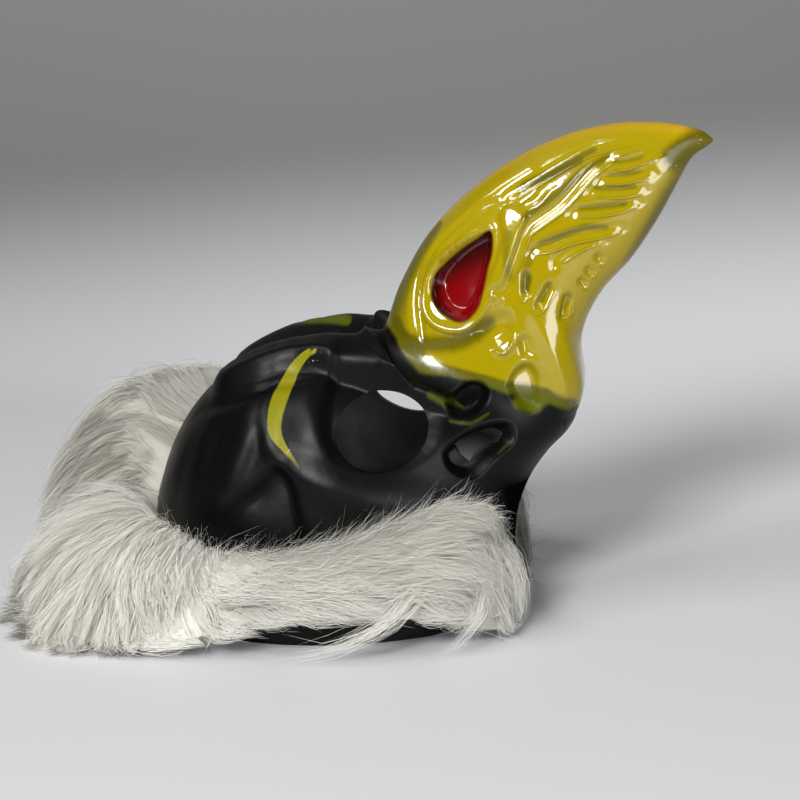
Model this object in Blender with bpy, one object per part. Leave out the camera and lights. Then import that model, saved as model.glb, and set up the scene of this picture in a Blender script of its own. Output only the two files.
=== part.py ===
"""A bird-of-prey half mask with a hooked beak and a fur trim, lying face up on its rim.

The shell is one formed plastic sheet, cut through at the eyes and the nostrils, and the fur is a
band of locks that runs round its rim from one corner of the lip to the other.  X runs from the
forehead (-X) to the upper lip (+X), Y across the face and Z up from the surface that the rim
lies on.  Tables are in millimetres.
"""

import math

import bmesh
import bpy
import numpy as np
from mathutils import Vector

MM = 0.001

# Driving sizes of the shell.  CROWDING draws its columns together at the cheeks.
WALL = 1.8
COLUMNS = 56
CROWDING = 0.2
HOLLOW_FROM_WIDTH = 4.5

# The part's origin is the middle of its footprint, this far from the tables' own
ORIGIN_X = 0.84

# Sections of the shell, from the beak's tip to the rim.  Each lies in a plane across the face:
# back is its point towards the forehead, front its point towards the lip.
# egg widens the back half, square makes the sides flatter than an ellipse's, and rings is the
# number of rings of points from the section above it.
SECTION_COLUMNS = ("back_x", "back_z", "front_x", "front_z", "half_width", "egg", "square", "rings")
SECTIONS = {
    "tip": (156.9, 215.6, 157.2, 214.2, 0.5, 0.0, 2.0, 0),
    "hook": (152.0, 219.0, 153.6, 211.4, 3.0, 0.0, 2.0, 1),
    "hook_root": (143.0, 221.4, 148.3, 207.0, 6.2, -0.05, 2.1, 1),
    "beak_1": (130.0, 222.6, 142.5, 196.0, 10.0, -0.08, 2.2, 2),
    "beak_2": (114.0, 221.8, 134.5, 180.5, 13.5, -0.10, 2.3, 2),
    "beak_3": (94.7, 217.2, 123.5, 163.0, 17.0, -0.12, 2.4, 2),
    "beak_4": (72.8, 207.2, 110.5, 147.5, 20.5, -0.12, 2.4, 2),
    "beak_5": (50.6, 191.3, 102.8, 131.0, 23.5, -0.10, 2.4, 2),
    "beak_6": (32.0, 171.5, 100.9, 112.0, 26.0, -0.08, 2.4, 2),
    "beak_7": (19.5, 149.0, 100.6, 97.0, 28.5, -0.04, 2.4, 2),
    "beak_root": (12.0, 129.0, 97.2, 84.9, 32.0, 0.0, 2.4, 3),
    "bridge": (3.0, 121.5, 88.5, 75.0, 41.0, 0.02, 2.4, 4),
    "brow": (-14.0, 121.0, 81.0, 64.0, 50.5, 0.05, 2.4, 4),
    "forehead_1": (-37.0, 117.5, 76.0, 52.0, 58.5, 0.08, 2.3, 3),
    "forehead_2": (-58.0, 108.5, 73.6, 42.0, 64.0, 0.10, 2.2, 3),
    "forehead_3": (-75.0, 92.5, 73.0, 33.0, 68.0, 0.12, 2.0, 2),
    "forehead_4": (-86.5, 73.0, 73.0, 24.0, 71.0, 0.12, 2.0, 2),
    "side_1": (-93.0, 50.0, 73.0, 16.0, 73.0, 0.12, 2.0, 2),
    "side_2": (-94.5, 25.0, 73.0, 8.0, 74.0, 0.12, 2.0, 1),
    "rim": (-95.0, 0.0, 73.0, 0.0, 74.5, 0.12, 2.0, 1),
}

# Raised and sunken forms of the shell, drawn over its side (x, z) or its top (x, y).
# A ridge follows an open line.  Its rise is along the surface's normal, left and right are its
# widths on the line's two sides, and the cores are the shares of them that stay level.
RIDGE_COLUMNS = ("x", "z_or_y", "rise", "left", "right")
# A pad fills a closed outline.  Its rise is the height inside, and soft is how far in it is reached.
PAD_COLUMNS = ("x", "z_or_y", "rise", "soft")

# The main forms of the face
FACE_PADS = {
    "brow": ("top", (
        (-66, 10, 2, 12), (-42, 5, 6, 18), (-22, 3, 10, 22), (-2, 3, 12, 22), (12, 4, 12, 16),
        (20, 13, 11, 7), (23, 24, 8, 6), (31, 32, 5, 5), (42, 36, 3, 4), (29, 40, 7, 5),
        (14, 42, 10, 6), (0, 41, 12, 6), (-13, 38, 12, 6), (-24, 37, 8, 6),
        (-42, 39, 6, 6), (-62, 32, 3, 7),
    )),
    "socket": ("side", (
        (-18, 112, -2, 8), (-6, 118, -5, 6), (14, 114, -5, 6), (34, 107, -4, 8), (46, 98, -3, 10),
        (40, 80, -4, 12), (20, 73, -4, 12), (-2, 75, -3, 12), (-20, 88, -2, 8), (-22, 102, -2, 7),
    )),
    "temple_hollow": ("side", (
        (-62, 50, -3, 8), (-48, 63, -6, 8), (-34, 69, -8, 8), (-24, 76, -6, 7), (-16, 70, -7, 8),
        (-14, 58, -7, 14), (-28, 42, -6, 18), (-50, 38, -4, 14),
    )),
}
FACE_RIDGES = {
    "eye_ring": ("side", (0.2, 0.2), (
        (-14, 122, 1.5, 7, 7), (-21, 117, 3, 8, 9), (-26, 110, 3.5, 9, 9), (-29, 102, 4, 9, 9),
        (-29, 94, 4, 9, 9), (-27, 87, 3.5, 9, 9), (-21, 80, 3, 8, 8), (-14, 75, 2, 8, 8),
    )),
    "cheekbone": ("side", (0.0, 0.0), (
        (-16, 72, 3, 12, 12), (-4, 70, 5.5, 15, 17), (8, 66, 5.5, 17, 20), (22, 60, 5, 17, 20),
        (38, 58, 3.5, 14, 16), (52, 60, 2, 12, 12),
    )),
    "temple_fold": ("side", (0.1, 0.1), (
        (-30, 112, 1.5, 7, 7), (-38, 101, 4, 9, 9), (-45, 87, 5, 10, 9), (-49, 74, 4.5, 9, 8),
        (-51, 64, 2.5, 8, 7),
    )),
    "temple_fold_2": ("side", (0.1, 0.1), (
        (-48, 106, 1.5, 6, 6), (-56, 90, 3.5, 7, 7), (-62, 72, 4, 7, 7), (-66, 56, 3.5, 7, 7),
        (-69, 42, 2, 7, 7),
    )),
    "temple_fold_3": ("side", (0.1, 0.1), (
        (-70, 86, 1, 6, 6), (-76, 68, 3, 7, 7), (-80, 52, 3, 7, 7), (-83, 36, 1.5, 7, 7),
    )),
    "stripe_fold": ("side", (0.1, 0.1), (
        (-33, 92, 1.5, 4.5, 4.5), (-35, 82, 3, 5, 5), (-38, 73, 2, 5, 5),
    )),
    "eyelid": ("side", (0.1, 0.1), (
        (20, 110, 1.5, 4, 4), (30, 108, 3, 4.5, 4.5), (40, 104, 3.5, 5, 5), (50, 98, 2, 5, 5),
    )),
}

# The main forms of the beak
BEAK_PADS = {
    "teardrop": ("side", (
        (62, 177, -6, 4), (50, 172, -7, 3.5), (40, 163, -8, 3.5), (35, 153, -8, 4),
        (37, 143, -7, 6), (43, 137, -6, 7), (51, 136, -5, 7), (57, 141, -5, 6), (61, 152, -6, 5),
        (63, 164, -6, 4.5),
    )),
    "nostril_pocket": ("side", (
        (44, 103, -5, 5), (50, 110, -5, 5), (57, 113, -5, 5), (64, 109, -5, 5),
        (63, 101, -5, 5), (57, 95, -5, 5), (48, 95, -5, 5),
    )),
    "lower_pocket": ("side", (
        (44, 83, -5, 5), (52, 90, -5, 5), (63, 94, -5, 5), (74, 93, -5, 5),
        (76, 84, -5, 5), (67, 76, -5, 5), (58, 68, -5, 5), (47, 73, -5, 5),
    )),
    "gape_groove": ("side", (
        (70, 108, -2, 4), (75, 118, -3, 3), (84, 120, -3, 3), (90, 114, -3, 3),
        (90, 99, -2.5, 4), (79, 96, -2, 5),
    )),
    "lobe": ("side", (
        (65, 184, 2, 3), (72, 188, 2, 2.5), (79, 183, 2, 2.5), (76, 171, 2, 3), (72, 158, 2, 3.5),
        (68, 150, 1.5, 4), (60, 151, 1.5, 3.5), (63, 162, 2, 3), (66, 173, 2, 3),
    )),
    "cheek_dent": ("side", (
        (52, 132, -3, 8), (62, 142, -3, 7), (73, 142, -3, 7), (74, 131, -3, 6), (64, 123, -3, 7),
    )),
}
BEAK_RIDGES = {
    "teardrop_rim": ("side", (0.0, 0.0), (
        (64, 179, 1, 3.5, 3.5), (52, 173, 1.4, 3.5, 3.5), (41, 165, 1.6, 3.5, 4),
        (34, 155, 1.8, 4, 4), (33, 144, 1.8, 4, 4), (37, 136, 1.8, 4, 4.5),
        (44, 132, 1.8, 4, 4.5), (52, 132, 1.8, 4, 4.5), (59, 138, 1.4, 4, 4), (64, 148, 1, 3.5, 3.5),
    )),
    "main_vein": ("side", (0.0, 0.0), (
        (73, 152, 0.8, 2.5, 2), (76, 163, 1.6, 2.5, 2.5), (81, 174, 1.8, 3, 2.5),
        (92, 184, 2, 3, 3), (103, 194, 2, 3, 3), (113, 203, 1.8, 3, 3), (121, 209, 1.2, 2.5, 2.5),
    )),
    "upper_vein": ("side", (0.0, 0.0), (
        (70, 188, 1.2, 3, 3), (83, 194, 1.8, 3, 3), (97, 202, 1.8, 3, 3), (109, 209, 1.4, 3, 3),
        (121, 211, 0.6, 3, 3),
    )),
    "culmen_edge": ("side", (0.0, 0.0), (
        (27, 132, 1, 5, 5), (26, 148, 1.4, 5, 5), (33, 163, 1.4, 5, 5), (46, 177, 1.2, 5, 5),
        (60, 190, 1, 5, 5), (78, 203, 0.8, 5, 5),
    )),
}

# Cut-outs, as side outlines (x, z) that go straight through both cheeks
EYE_CENTRE = (18.0, 91.5)
EYE_HALF = (20.0, 16.0)
EYE_SIDES = 28
NOSTRIL_CUTS = {
    "nostril_cut": ((47.5, 101), (52, 98), (57, 100.5), (59.5, 104), (59, 107), (55, 108), (49.5, 105.5)),
    "lower_cut": (
        (48.5, 84), (51, 79), (55, 75.5), (57, 79), (61, 82), (67, 83), (69, 87), (65, 90.5),
        (57, 89), (51.5, 87),
    ),
}

# The fur round the rim.  Each row is a place along it, from the middle of the forehead (0 degrees)
# to the lip (180): top and low are the heights of its edges on the wall, crest is how far it stands
# above its top edge, deep is how far it stands out and lock how far its locks reach beyond that.
FUR_GAP = 1.0
FUR_FLOOR = 0.4
FUR_END = 157
FUR_COLUMNS = ("degrees", "top", "low", "crest", "deep", "lock")
# Over the forehead it stands up on the far side (below 0 degrees) and is combed down on the near one
FOREHEAD_ROWS = (
    (-62, 56, 13, 18, 24, 12),
    (-45, 70, 7, 20, 40, 33),
    (-25, 74, 6, 19, 42, 32),
    (-6, 74, 6, 18, 42, 32),
    (8, 38, 6, 12, 42, 32),
    (25, 36, 6, 15, 42, 32),
    (45, 36, 7, 11, 40, 33),
    (62, 35, 13, 4, 24, 12),
)
CHEEK_ROWS = (
    (80, 37, 20, 3, 18, 4),
    (100, 42, 20, 3, 18, 4),
    (118, 50, 18, 3, 19, 5),
    (134, 57, 14, 3, 20, 6),
    (148, 53, 9, 2, 17, 6),
    (157, 38, 8, 1, 8, 2),
)
FAR_CHEEK_ROWS = tuple((-degrees, *sizes) for degrees, *sizes in reversed(CHEEK_ROWS))
FUR_ROWS = FAR_CHEEK_ROWS + FOREHEAD_ROWS + CHEEK_ROWS
# Stations half way between the shell's columns are left out beyond this angle
HALF_STATIONS_END = 66
STATIONS_PER_LOCK = 6
LOCK_SHARPNESS = 1.4
WALL_RINGS = 11


def spline(rows, at):
    """Reads a Catmull-Rom curve through rows at the fractional row numbers in at."""
    rows = np.asarray(rows, float)
    padded = np.vstack([2 * rows[0] - rows[1], rows, 2 * rows[-1] - rows[-2]])
    start = np.clip(np.floor(at).astype(int), 0, len(rows) - 2)
    u = (np.asarray(at) - start)[:, None]
    p0, p1, p2, p3 = (padded[start + k] for k in range(4))
    return 0.5 * (
        2 * p1
        + (p2 - p0) * u
        + (2 * p0 - 5 * p1 + 4 * p2 - p3) * u**2
        + (3 * p1 - p0 - 3 * p2 + p3) * u**3
    )


def loft(along, around):
    """Points of the plain shell: rows run from the tip to the rim, columns go round from the back."""
    rows = spline([section[:7] for section in SECTIONS.values()], along)
    back, front = rows[:, None, 0:2], rows[:, None, 2:4]
    width, egg, square = (rows[:, k][:, None] for k in (4, 5, 6))
    cosine, sine = np.cos(around)[None, :], np.sin(around)[None, :]
    forward = np.sign(cosine) * np.abs(cosine) ** (2 / square)
    sideways = np.sign(sine) * np.abs(sine) ** (2 / square)
    middle = (back + front) / 2 + (back - front) / 2 * forward[..., None]
    y = -width * sideways * (1 + egg * forward)
    return np.stack([middle[..., 0], y, middle[..., 1]], axis=-1)


def normals_of(grid):
    """Outward unit normals of a grid of rows by columns that closes round its columns."""
    down = np.gradient(grid, axis=0)
    round_ = np.roll(grid, -1, axis=1) - np.roll(grid, 1, axis=1)
    normal = np.cross(down, round_)
    size = np.linalg.norm(normal, axis=-1, keepdims=True)
    return normal / np.maximum(size, 1e-9)


def smoothstep(t):
    """Goes smoothly from 0 to 1 as t does."""
    t = np.clip(t, 0, 1)
    return t * t * (3 - 2 * t)


def to_segment(flat, a, b):
    """How far along the stretch from a to b each point's nearest place is, and its offset."""
    step = b[:2] - a[:2]
    t = np.clip((flat - a[:2]) @ step / (step @ step + 1e-12), 0, 1)
    return t, flat - (a[:2] + t[:, None] * step), step


def ridge_lift(flat, cores, line):
    """Height of a ridge at points on its view's plane."""
    best = np.full(len(flat), np.inf)
    lift = np.zeros(len(flat))
    for a, b in zip(line[:-1], line[1:]):
        t, off, step = to_segment(flat, a, b)
        distance = np.hypot(off[:, 0], off[:, 1])
        left_side = step[0] * off[:, 1] - step[1] * off[:, 0] > 0
        row = a + t[:, None] * (b - a)
        width = np.where(left_side, row[:, 3], row[:, 4])
        core = np.where(left_side, cores[0], cores[1])
        height = row[:, 2] * (1 - smoothstep((distance / width - core) / (1 - core)))
        nearer = distance < best
        best = np.where(nearer, distance, best)
        lift = np.where(nearer, height, lift)
    return lift


def pad_lift(flat, outline):
    """Height of a pad at points on its view's plane."""
    rows = np.asarray(outline, float)
    apart = ((flat[:, None, :] - rows[None, :, :2]) ** 2).sum(axis=2) + 1.0
    rise = (rows[:, 2] / apart).sum(axis=1) / (1 / apart).sum(axis=1)
    wrapped = np.vstack([rows[-1], rows, rows[:2]])
    steps = 4
    ring = spline(wrapped, np.arange(len(rows) * steps) / steps + 1)
    share = np.full(len(flat), np.inf)
    inside = np.zeros(len(flat), bool)
    for a, b in zip(ring, np.roll(ring, -1, axis=0)):
        t, off, step = to_segment(flat, a, b)
        soft = a[3] + t * (b[3] - a[3])
        share = np.minimum(share, np.hypot(off[:, 0], off[:, 1]) / soft)
        spans = (a[1] > flat[:, 1]) != (b[1] > flat[:, 1])
        slope = step[0] / step[1] if step[1] else 0.0
        inside ^= spans & (flat[:, 0] < a[0] + (flat[:, 1] - a[1]) * slope)
    return np.where(inside, rise * smoothstep(share), 0.0)


def raise_forms(grid, pads, ridges):
    """Moves the grid's points along their normals by the pads and ridges."""
    points = grid.reshape(-1, 3)
    normals = normals_of(grid).reshape(-1, 3)
    views = {
        "side": points[:, [0, 2]],
        "top": np.stack([points[:, 0], np.abs(points[:, 1])], axis=1),
    }
    lift = np.zeros(len(points))
    for view, outline in pads.values():
        lift += pad_lift(views[view], outline)
    for view, cores, line in ridges.values():
        lift += ridge_lift(views[view], cores, np.asarray(line, float))
    return (points + normals * lift[:, None]).reshape(grid.shape)


def shell_surface(along, around):
    """Outer surface of the shell, in millimetres."""
    grid = raise_forms(loft(along, around), FACE_PADS, FACE_RIDGES)
    grid = raise_forms(grid, BEAK_PADS, BEAK_RIDGES)
    grid[-1, :, 2] = 0.0
    return grid


def column_angles():
    """Angles of the shell's columns of points, from the middle of the forehead."""
    even = np.arange(COLUMNS) * 2 * math.pi / COLUMNS
    return even + CROWDING * np.sin(2 * even)


def ring_places():
    """Fractional section numbers of the shell's rings."""
    places = [0.0]
    for number, section in enumerate(SECTIONS.values()):
        rings = section[7]
        places += [number - 1 + (k + 1) / rings for k in range(rings)]
    return np.array(places)


def smoothed(field):
    """Averages a grid of vectors with its neighbours and makes them unit length again."""
    up = np.vstack([field[:1], field[:-1]])
    down = np.vstack([field[1:], field[-1:]])
    total = field * 2 + up + down + np.roll(field, 1, axis=1) + np.roll(field, -1, axis=1)
    return total / np.linalg.norm(total, axis=-1, keepdims=True)


def shell_skins():
    """Outer and inner surfaces of the shell.  The beak's narrow tip stays solid."""
    along = ring_places()
    outer = shell_surface(along, column_angles())
    inward = smoothed(normals_of(outer))
    inner = outer - WALL * inward
    rim_out = inward[-1] * (1, 1, 0)
    rim_out /= np.linalg.norm(rim_out, axis=-1, keepdims=True)
    inner[-1] = outer[-1] - WALL * rim_out
    half_widths = spline([section[:7] for section in SECTIONS.values()], along)[:, 4]
    first = int(np.argmax(half_widths > HOLLOW_FROM_WIDTH))
    return outer, inner[first:]


def new_object(name, mesh, material=None):
    """Links a mesh to the scene as an object."""
    item = bpy.data.objects.new(name, mesh)
    bpy.context.scene.collection.objects.link(item)
    if material is not None:
        mesh.materials.append(material)
    return item


def plain_material(name, colour, roughness, metallic=0.0):
    """A Principled material."""
    material = bpy.data.materials.new(name)
    material.use_nodes = True
    shader = material.node_tree.nodes["Principled BSDF"]
    shader.inputs["Base Color"].default_value = (*colour, 1.0)
    shader.inputs["Roughness"].default_value = roughness
    shader.inputs["Metallic"].default_value = metallic
    material.diffuse_color = (*colour, 1.0)
    return material


def add_rings(build, grid):
    """Adds a grid's points, ring by ring, to a bmesh."""
    placed = (grid - (ORIGIN_X, 0, 0)) * MM
    return [[build.verts.new(point) for point in ring] for ring in placed]


def join_rings(build, first, second, closed=True):
    """Fills the band between two rings of the same length."""
    count = len(first)
    for k in range(count if closed else count - 1):
        after = (k + 1) % count
        build.faces.new((first[k], second[k], second[after], first[after]))


def finish_mesh(build, name):
    """Closes a bmesh into a triangulated mesh with its faces pointing out."""
    bmesh.ops.triangulate(build, faces=build.faces[:])
    bmesh.ops.recalc_face_normals(build, faces=build.faces[:])
    mesh = bpy.data.meshes.new(name)
    build.to_mesh(mesh)
    build.free()
    return mesh


def prism(name, outline, half_length):
    """A hidden cutter: a side outline (x, z) drawn out across the face to both sides."""
    build = bmesh.new()
    ends = [
        [build.verts.new(Vector((x - ORIGIN_X, y, z)) * MM) for x, z in outline]
        for y in (-half_length, half_length)
    ]
    join_rings(build, ends[0], ends[1])
    build.faces.new(ends[0])
    build.faces.new(ends[1])
    cutter = new_object(name, finish_mesh(build, name))
    cutter.hide_render = True
    cutter.display_type = "WIRE"
    return cutter


def eye_outline():
    """The eye hole's outline."""
    turns = np.arange(EYE_SIDES) * 2 * math.pi / EYE_SIDES
    return [
        (EYE_CENTRE[0] + EYE_HALF[0] * math.cos(t), EYE_CENTRE[1] + EYE_HALF[1] * math.sin(t))
        for t in turns
    ]


def make_shell(material):
    """The formed sheet: outer and inner skins joined at the rim, with the cut-outs."""
    outer, inner = shell_skins()
    build = bmesh.new()
    outside, inside = add_rings(build, outer), add_rings(build, inner)
    for rings in (outside, inside):
        for above, below in zip(rings[:-1], rings[1:]):
            join_rings(build, above, below)
        build.faces.new(rings[0])
    join_rings(build, outside[-1], inside[-1])
    shell = new_object("mask_shell", finish_mesh(build, "mask_shell"), material)
    cuts = {"eye_cut": eye_outline(), **NOSTRIL_CUTS}
    for name, outline in cuts.items():
        cutter = prism(name, outline, half_length=100.0)
        boolean = shell.modifiers.new(name, "BOOLEAN")
        boolean.operation = "DIFFERENCE"
        boolean.solver = "EXACT"
        boolean.object = cutter
    return shell


def lock_point(station, shift):
    """How near a station is to the tip of its lock, from 0 between two locks to 1."""
    turn = station / STATIONS_PER_LOCK + shift
    return (1 - abs(2 * (turn % 1) - 1)) ** LOCK_SHARPNESS * (0.85 + 0.15 * math.cos(5.3 * turn))


def fur_section(wall, out, degrees, station):
    """Points of the fur's section at one station, from its low inner edge up and round."""
    places = [row[0] for row in FUR_ROWS]
    top, low, crest, deep, lock = (
        np.interp(degrees, places, [row[k] for row in FUR_ROWS]) for k in range(1, 6)
    )
    upper, lower = lock * lock_point(station, 0.5), lock * lock_point(station, 0.0)
    foot = max(FUR_FLOOR, low - 7)

    def off_wall(height, away, level=None):
        x = np.interp(height, wall[::-1, 2], wall[::-1, 0])
        y = np.interp(height, wall[::-1, 2], wall[::-1, 1])
        return (x + out[0] * away, y + out[1] * away, height if level is None else level)

    # The gap to the wall widens upwards, where the temple's folds bulge between these points
    return [
        off_wall(low, FUR_GAP),
        off_wall(low + (top - low) * 0.35, FUR_GAP * 1.3),
        off_wall(low + (top - low) * 0.6, FUR_GAP * 1.6),
        off_wall(low + (top - low) * 0.8, FUR_GAP * 1.8),
        off_wall(top, FUR_GAP * 1.8),
        off_wall(low, deep * 0.22, top + crest * 0.85),
        off_wall(low, deep * 0.5, top + crest),
        off_wall(low, deep * 0.82 + upper * 0.3, low + (top + crest - low) * 0.78),
        off_wall(low, deep * 0.9 + upper * 0.7, low + (top + crest - low) * 0.47),
        off_wall(low, deep * 0.8 + lower * 0.3, low + (top + crest - low) * 0.3),
        off_wall(low, deep + lower, low * 0.5 + 2),
        off_wall(low, deep * 0.7 + lower * 0.5, foot),
    ]


def wall_stations():
    """The shell's wall and the way out from it, at each column and half way to the next."""
    around = column_angles()
    walls = shell_surface(ring_places(), around)[-WALL_RINGS:]
    rim = walls[-1]
    tangent = np.roll(rim, -1, axis=0) - np.roll(rim, 1, axis=0)
    outs = np.stack([-tangent[:, 1], tangent[:, 0]], axis=1)
    outs *= np.sign((outs * rim[:, :2]).sum(axis=1, keepdims=True))
    last = int(np.argmax(np.degrees(around) > FUR_END)) - 1
    for station in range(-2 * last, 2 * last + 1):
        first, second = math.floor(station / 2), math.ceil(station / 2)
        wall = (walls[:, first] + walls[:, second]) / 2
        out = outs[first] + outs[second]
        degrees = math.degrees(around[abs(first)] + around[abs(second)]) / 2
        if station % 2 == 0 or degrees < HALF_STATIONS_END:
            yield station, math.copysign(degrees, station), wall, out / np.linalg.norm(out)


def make_fur(material):
    """The fur trim: one closed band of locks round the wall, open at the lip."""
    sections = [
        fur_section(wall, out, degrees, station)
        for station, degrees, wall, out in wall_stations()
    ]
    build = bmesh.new()
    rings = add_rings(build, np.array(sections))
    for above, below in zip(rings[:-1], rings[1:]):
        join_rings(build, above, below)
    build.faces.new(rings[0])
    build.faces.new(rings[-1])
    return new_object("fur_trim", finish_mesh(build, "fur_trim"), material)


def main():
    for item in list(bpy.data.objects):
        bpy.data.objects.remove(item)
    make_shell(plain_material("painted_plastic", (0.012, 0.012, 0.014), 0.28))
    make_fur(plain_material("cream_fur", (0.80, 0.77, 0.68), 0.9))


main()
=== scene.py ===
"""The looks of the bird-of-prey half mask: painted and lacquered sheet, and a long cream fur trim."""

import math

import bmesh
import bpy
import numpy as np
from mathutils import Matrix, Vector
from mathutils.bvhtree import BVHTree


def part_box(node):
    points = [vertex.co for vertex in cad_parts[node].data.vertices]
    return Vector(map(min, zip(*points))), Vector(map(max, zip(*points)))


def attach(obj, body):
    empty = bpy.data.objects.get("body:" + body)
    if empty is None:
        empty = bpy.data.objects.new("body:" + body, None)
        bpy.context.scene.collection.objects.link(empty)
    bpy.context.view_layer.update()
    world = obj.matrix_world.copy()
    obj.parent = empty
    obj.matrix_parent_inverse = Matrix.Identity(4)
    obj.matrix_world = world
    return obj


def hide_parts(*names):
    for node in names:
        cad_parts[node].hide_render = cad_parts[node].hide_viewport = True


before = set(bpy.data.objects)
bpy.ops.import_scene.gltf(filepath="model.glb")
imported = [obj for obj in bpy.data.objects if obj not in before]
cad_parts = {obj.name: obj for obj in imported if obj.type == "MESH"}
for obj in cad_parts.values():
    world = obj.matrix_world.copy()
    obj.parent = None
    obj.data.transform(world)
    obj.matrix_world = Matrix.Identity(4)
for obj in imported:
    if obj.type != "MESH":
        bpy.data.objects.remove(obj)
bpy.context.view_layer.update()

MM = 0.001
# The sheet's wall, and the half width from which the beak is hollow
WALL = 1.8
HOLLOW_FROM_WIDTH = 4.5
# A distance across the face that is further out than either cheek
BEYOND = 110.0
# The tables below start from the drawing's own origin.  The shell's back edge says how far the
# part's origin is from it.
BACK_EDGE_X = -95.0
ORIGIN_X = BACK_EDGE_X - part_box("mask_shell")[0][0] / MM

# Shares of the tables' radii, rises and troughs that the beads and veins are made with, and how much
# of a bead's radius its middle stands above the sheet
BEAD_SIZE = 0.78
VEIN_RISE = 0.15
VEIN_TROUGH = 0.75
BEAD_RISE = 0.25
# How fine the beads and the shell's skins are, and how far the skins' columns crowd to the sides
BEAD_SIDES = 10
BEAD_STEPS = 8
CROWDING = 0.2
OUTER_ROWS = 312
OUTER_COLUMNS = 248
INNER_STEP = 2

# Sections of the shell, from the beak's tip to the rim.  Each lies in a plane across the face:
# back is its point towards the forehead, front its point towards the lip.
# egg widens the back half, and square makes the sides flatter than an ellipse's.
# Columns: back x, back z, front x, front z, half width, egg, square
SECTIONS = {
    "tip": (156.9, 215.6, 157.2, 214.2, 0.5, 0.0, 2.0),
    "hook": (152.0, 219.0, 153.6, 211.4, 3.0, 0.0, 2.0),
    "hook_root": (143.0, 221.4, 148.3, 207.0, 6.2, -0.05, 2.1),
    "beak_1": (130.0, 222.6, 142.5, 196.0, 10.0, -0.08, 2.2),
    "beak_2": (114.0, 221.8, 134.5, 180.5, 13.5, -0.10, 2.3),
    "beak_3": (94.7, 217.2, 123.5, 163.0, 17.0, -0.12, 2.4),
    "beak_4": (72.8, 207.2, 110.5, 147.5, 20.5, -0.12, 2.4),
    "beak_5": (50.6, 191.3, 102.8, 131.0, 23.5, -0.10, 2.4),
    "beak_6": (32.0, 171.5, 100.9, 112.0, 26.0, -0.08, 2.4),
    "beak_7": (19.5, 149.0, 100.6, 97.0, 28.5, -0.04, 2.4),
    "beak_root": (12.0, 129.0, 97.2, 84.9, 32.0, 0.0, 2.4),
    "bridge": (3.0, 121.5, 88.5, 75.0, 41.0, 0.02, 2.4),
    "brow": (-14.0, 121.0, 81.0, 64.0, 50.5, 0.05, 2.4),
    "forehead_1": (-37.0, 117.5, 76.0, 52.0, 58.5, 0.08, 2.3),
    "forehead_2": (-58.0, 108.5, 73.6, 42.0, 64.0, 0.10, 2.2),
    "forehead_3": (-75.0, 92.5, 73.0, 33.0, 68.0, 0.12, 2.0),
    "forehead_4": (-86.5, 73.0, 73.0, 24.0, 71.0, 0.12, 2.0),
    "side_1": (-93.0, 50.0, 73.0, 16.0, 73.0, 0.12, 2.0),
    "side_2": (-94.5, 25.0, 73.0, 8.0, 74.0, 0.12, 2.0),
    "rim": (-95.0, 0.0, 73.0, 0.0, 74.5, 0.12, 2.0),
}
# Share of the rows that each stretch between two sections takes, from the tip down
ROW_SHARES = (1, 1, 2, 2, 2.4, 2.6, 2.8, 3, 3, 3.2, 3.4, 3.4, 3.2, 2.6, 2.2, 2, 2, 2, 1.6)

# Raised and sunken forms of the shell, drawn over its side (x, z) or its top (x, y).
# A ridge has x, z or y, rise, left, right, and follows an open line.  Its rise is along the surface's
# normal, and left and right are its widths on the line's two sides.
# A pad has x, z or y, rise, soft, and fills a closed outline.  Its rise is the height inside, and soft
# is how far in it is reached.
# A vein has x, z, rise, width, trough, bead: a thin ridge with a trough along its left side, and a
# bead of that radius on it.

# The main forms of the face
FACE_PADS = {
    "brow": ("top", (
        (-66, 10, 2, 12), (-42, 5, 6, 18), (-22, 3, 10, 22), (-2, 3, 12, 22), (10, 4, 13, 10),
        (15, 12, 13, 4.5), (17, 21, 13, 4.5), (20, 28, 12, 4.5), (25, 35, 9, 5), (31, 39, 6, 5),
        (20, 43, 8, 6), (7, 43, 10, 7), (-5, 42, 11, 7), (-14, 40, 10, 7), (-26, 39, 8, 8),
        (-42, 40, 6, 9), (-62, 33, 3, 9),
    )),
    "socket": ("side", (
        (-8, 114, -3, 6), (-2, 119, -5, 6), (14, 114, -5, 6), (34, 107, -4, 8), (46, 98, -3, 10),
        (40, 80, -4, 12), (20, 74, -4, 10), (2, 78, -4, 8), (-6, 86, -4, 6), (-9, 98, -4, 6),
    )),
    "temple_hollow": ("side", (
        (-60, 44, -2, 8), (-50, 62, -4, 8), (-38, 70, -8, 7), (-28, 80, -6, 7), (-18, 74, -7, 6),
        (-12, 60, -7, 8), (-6, 42, -5, 12), (-10, 16, -3, 16), (-32, 8, -2, 16), (-52, 14, -2, 14),
    )),
}
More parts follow.
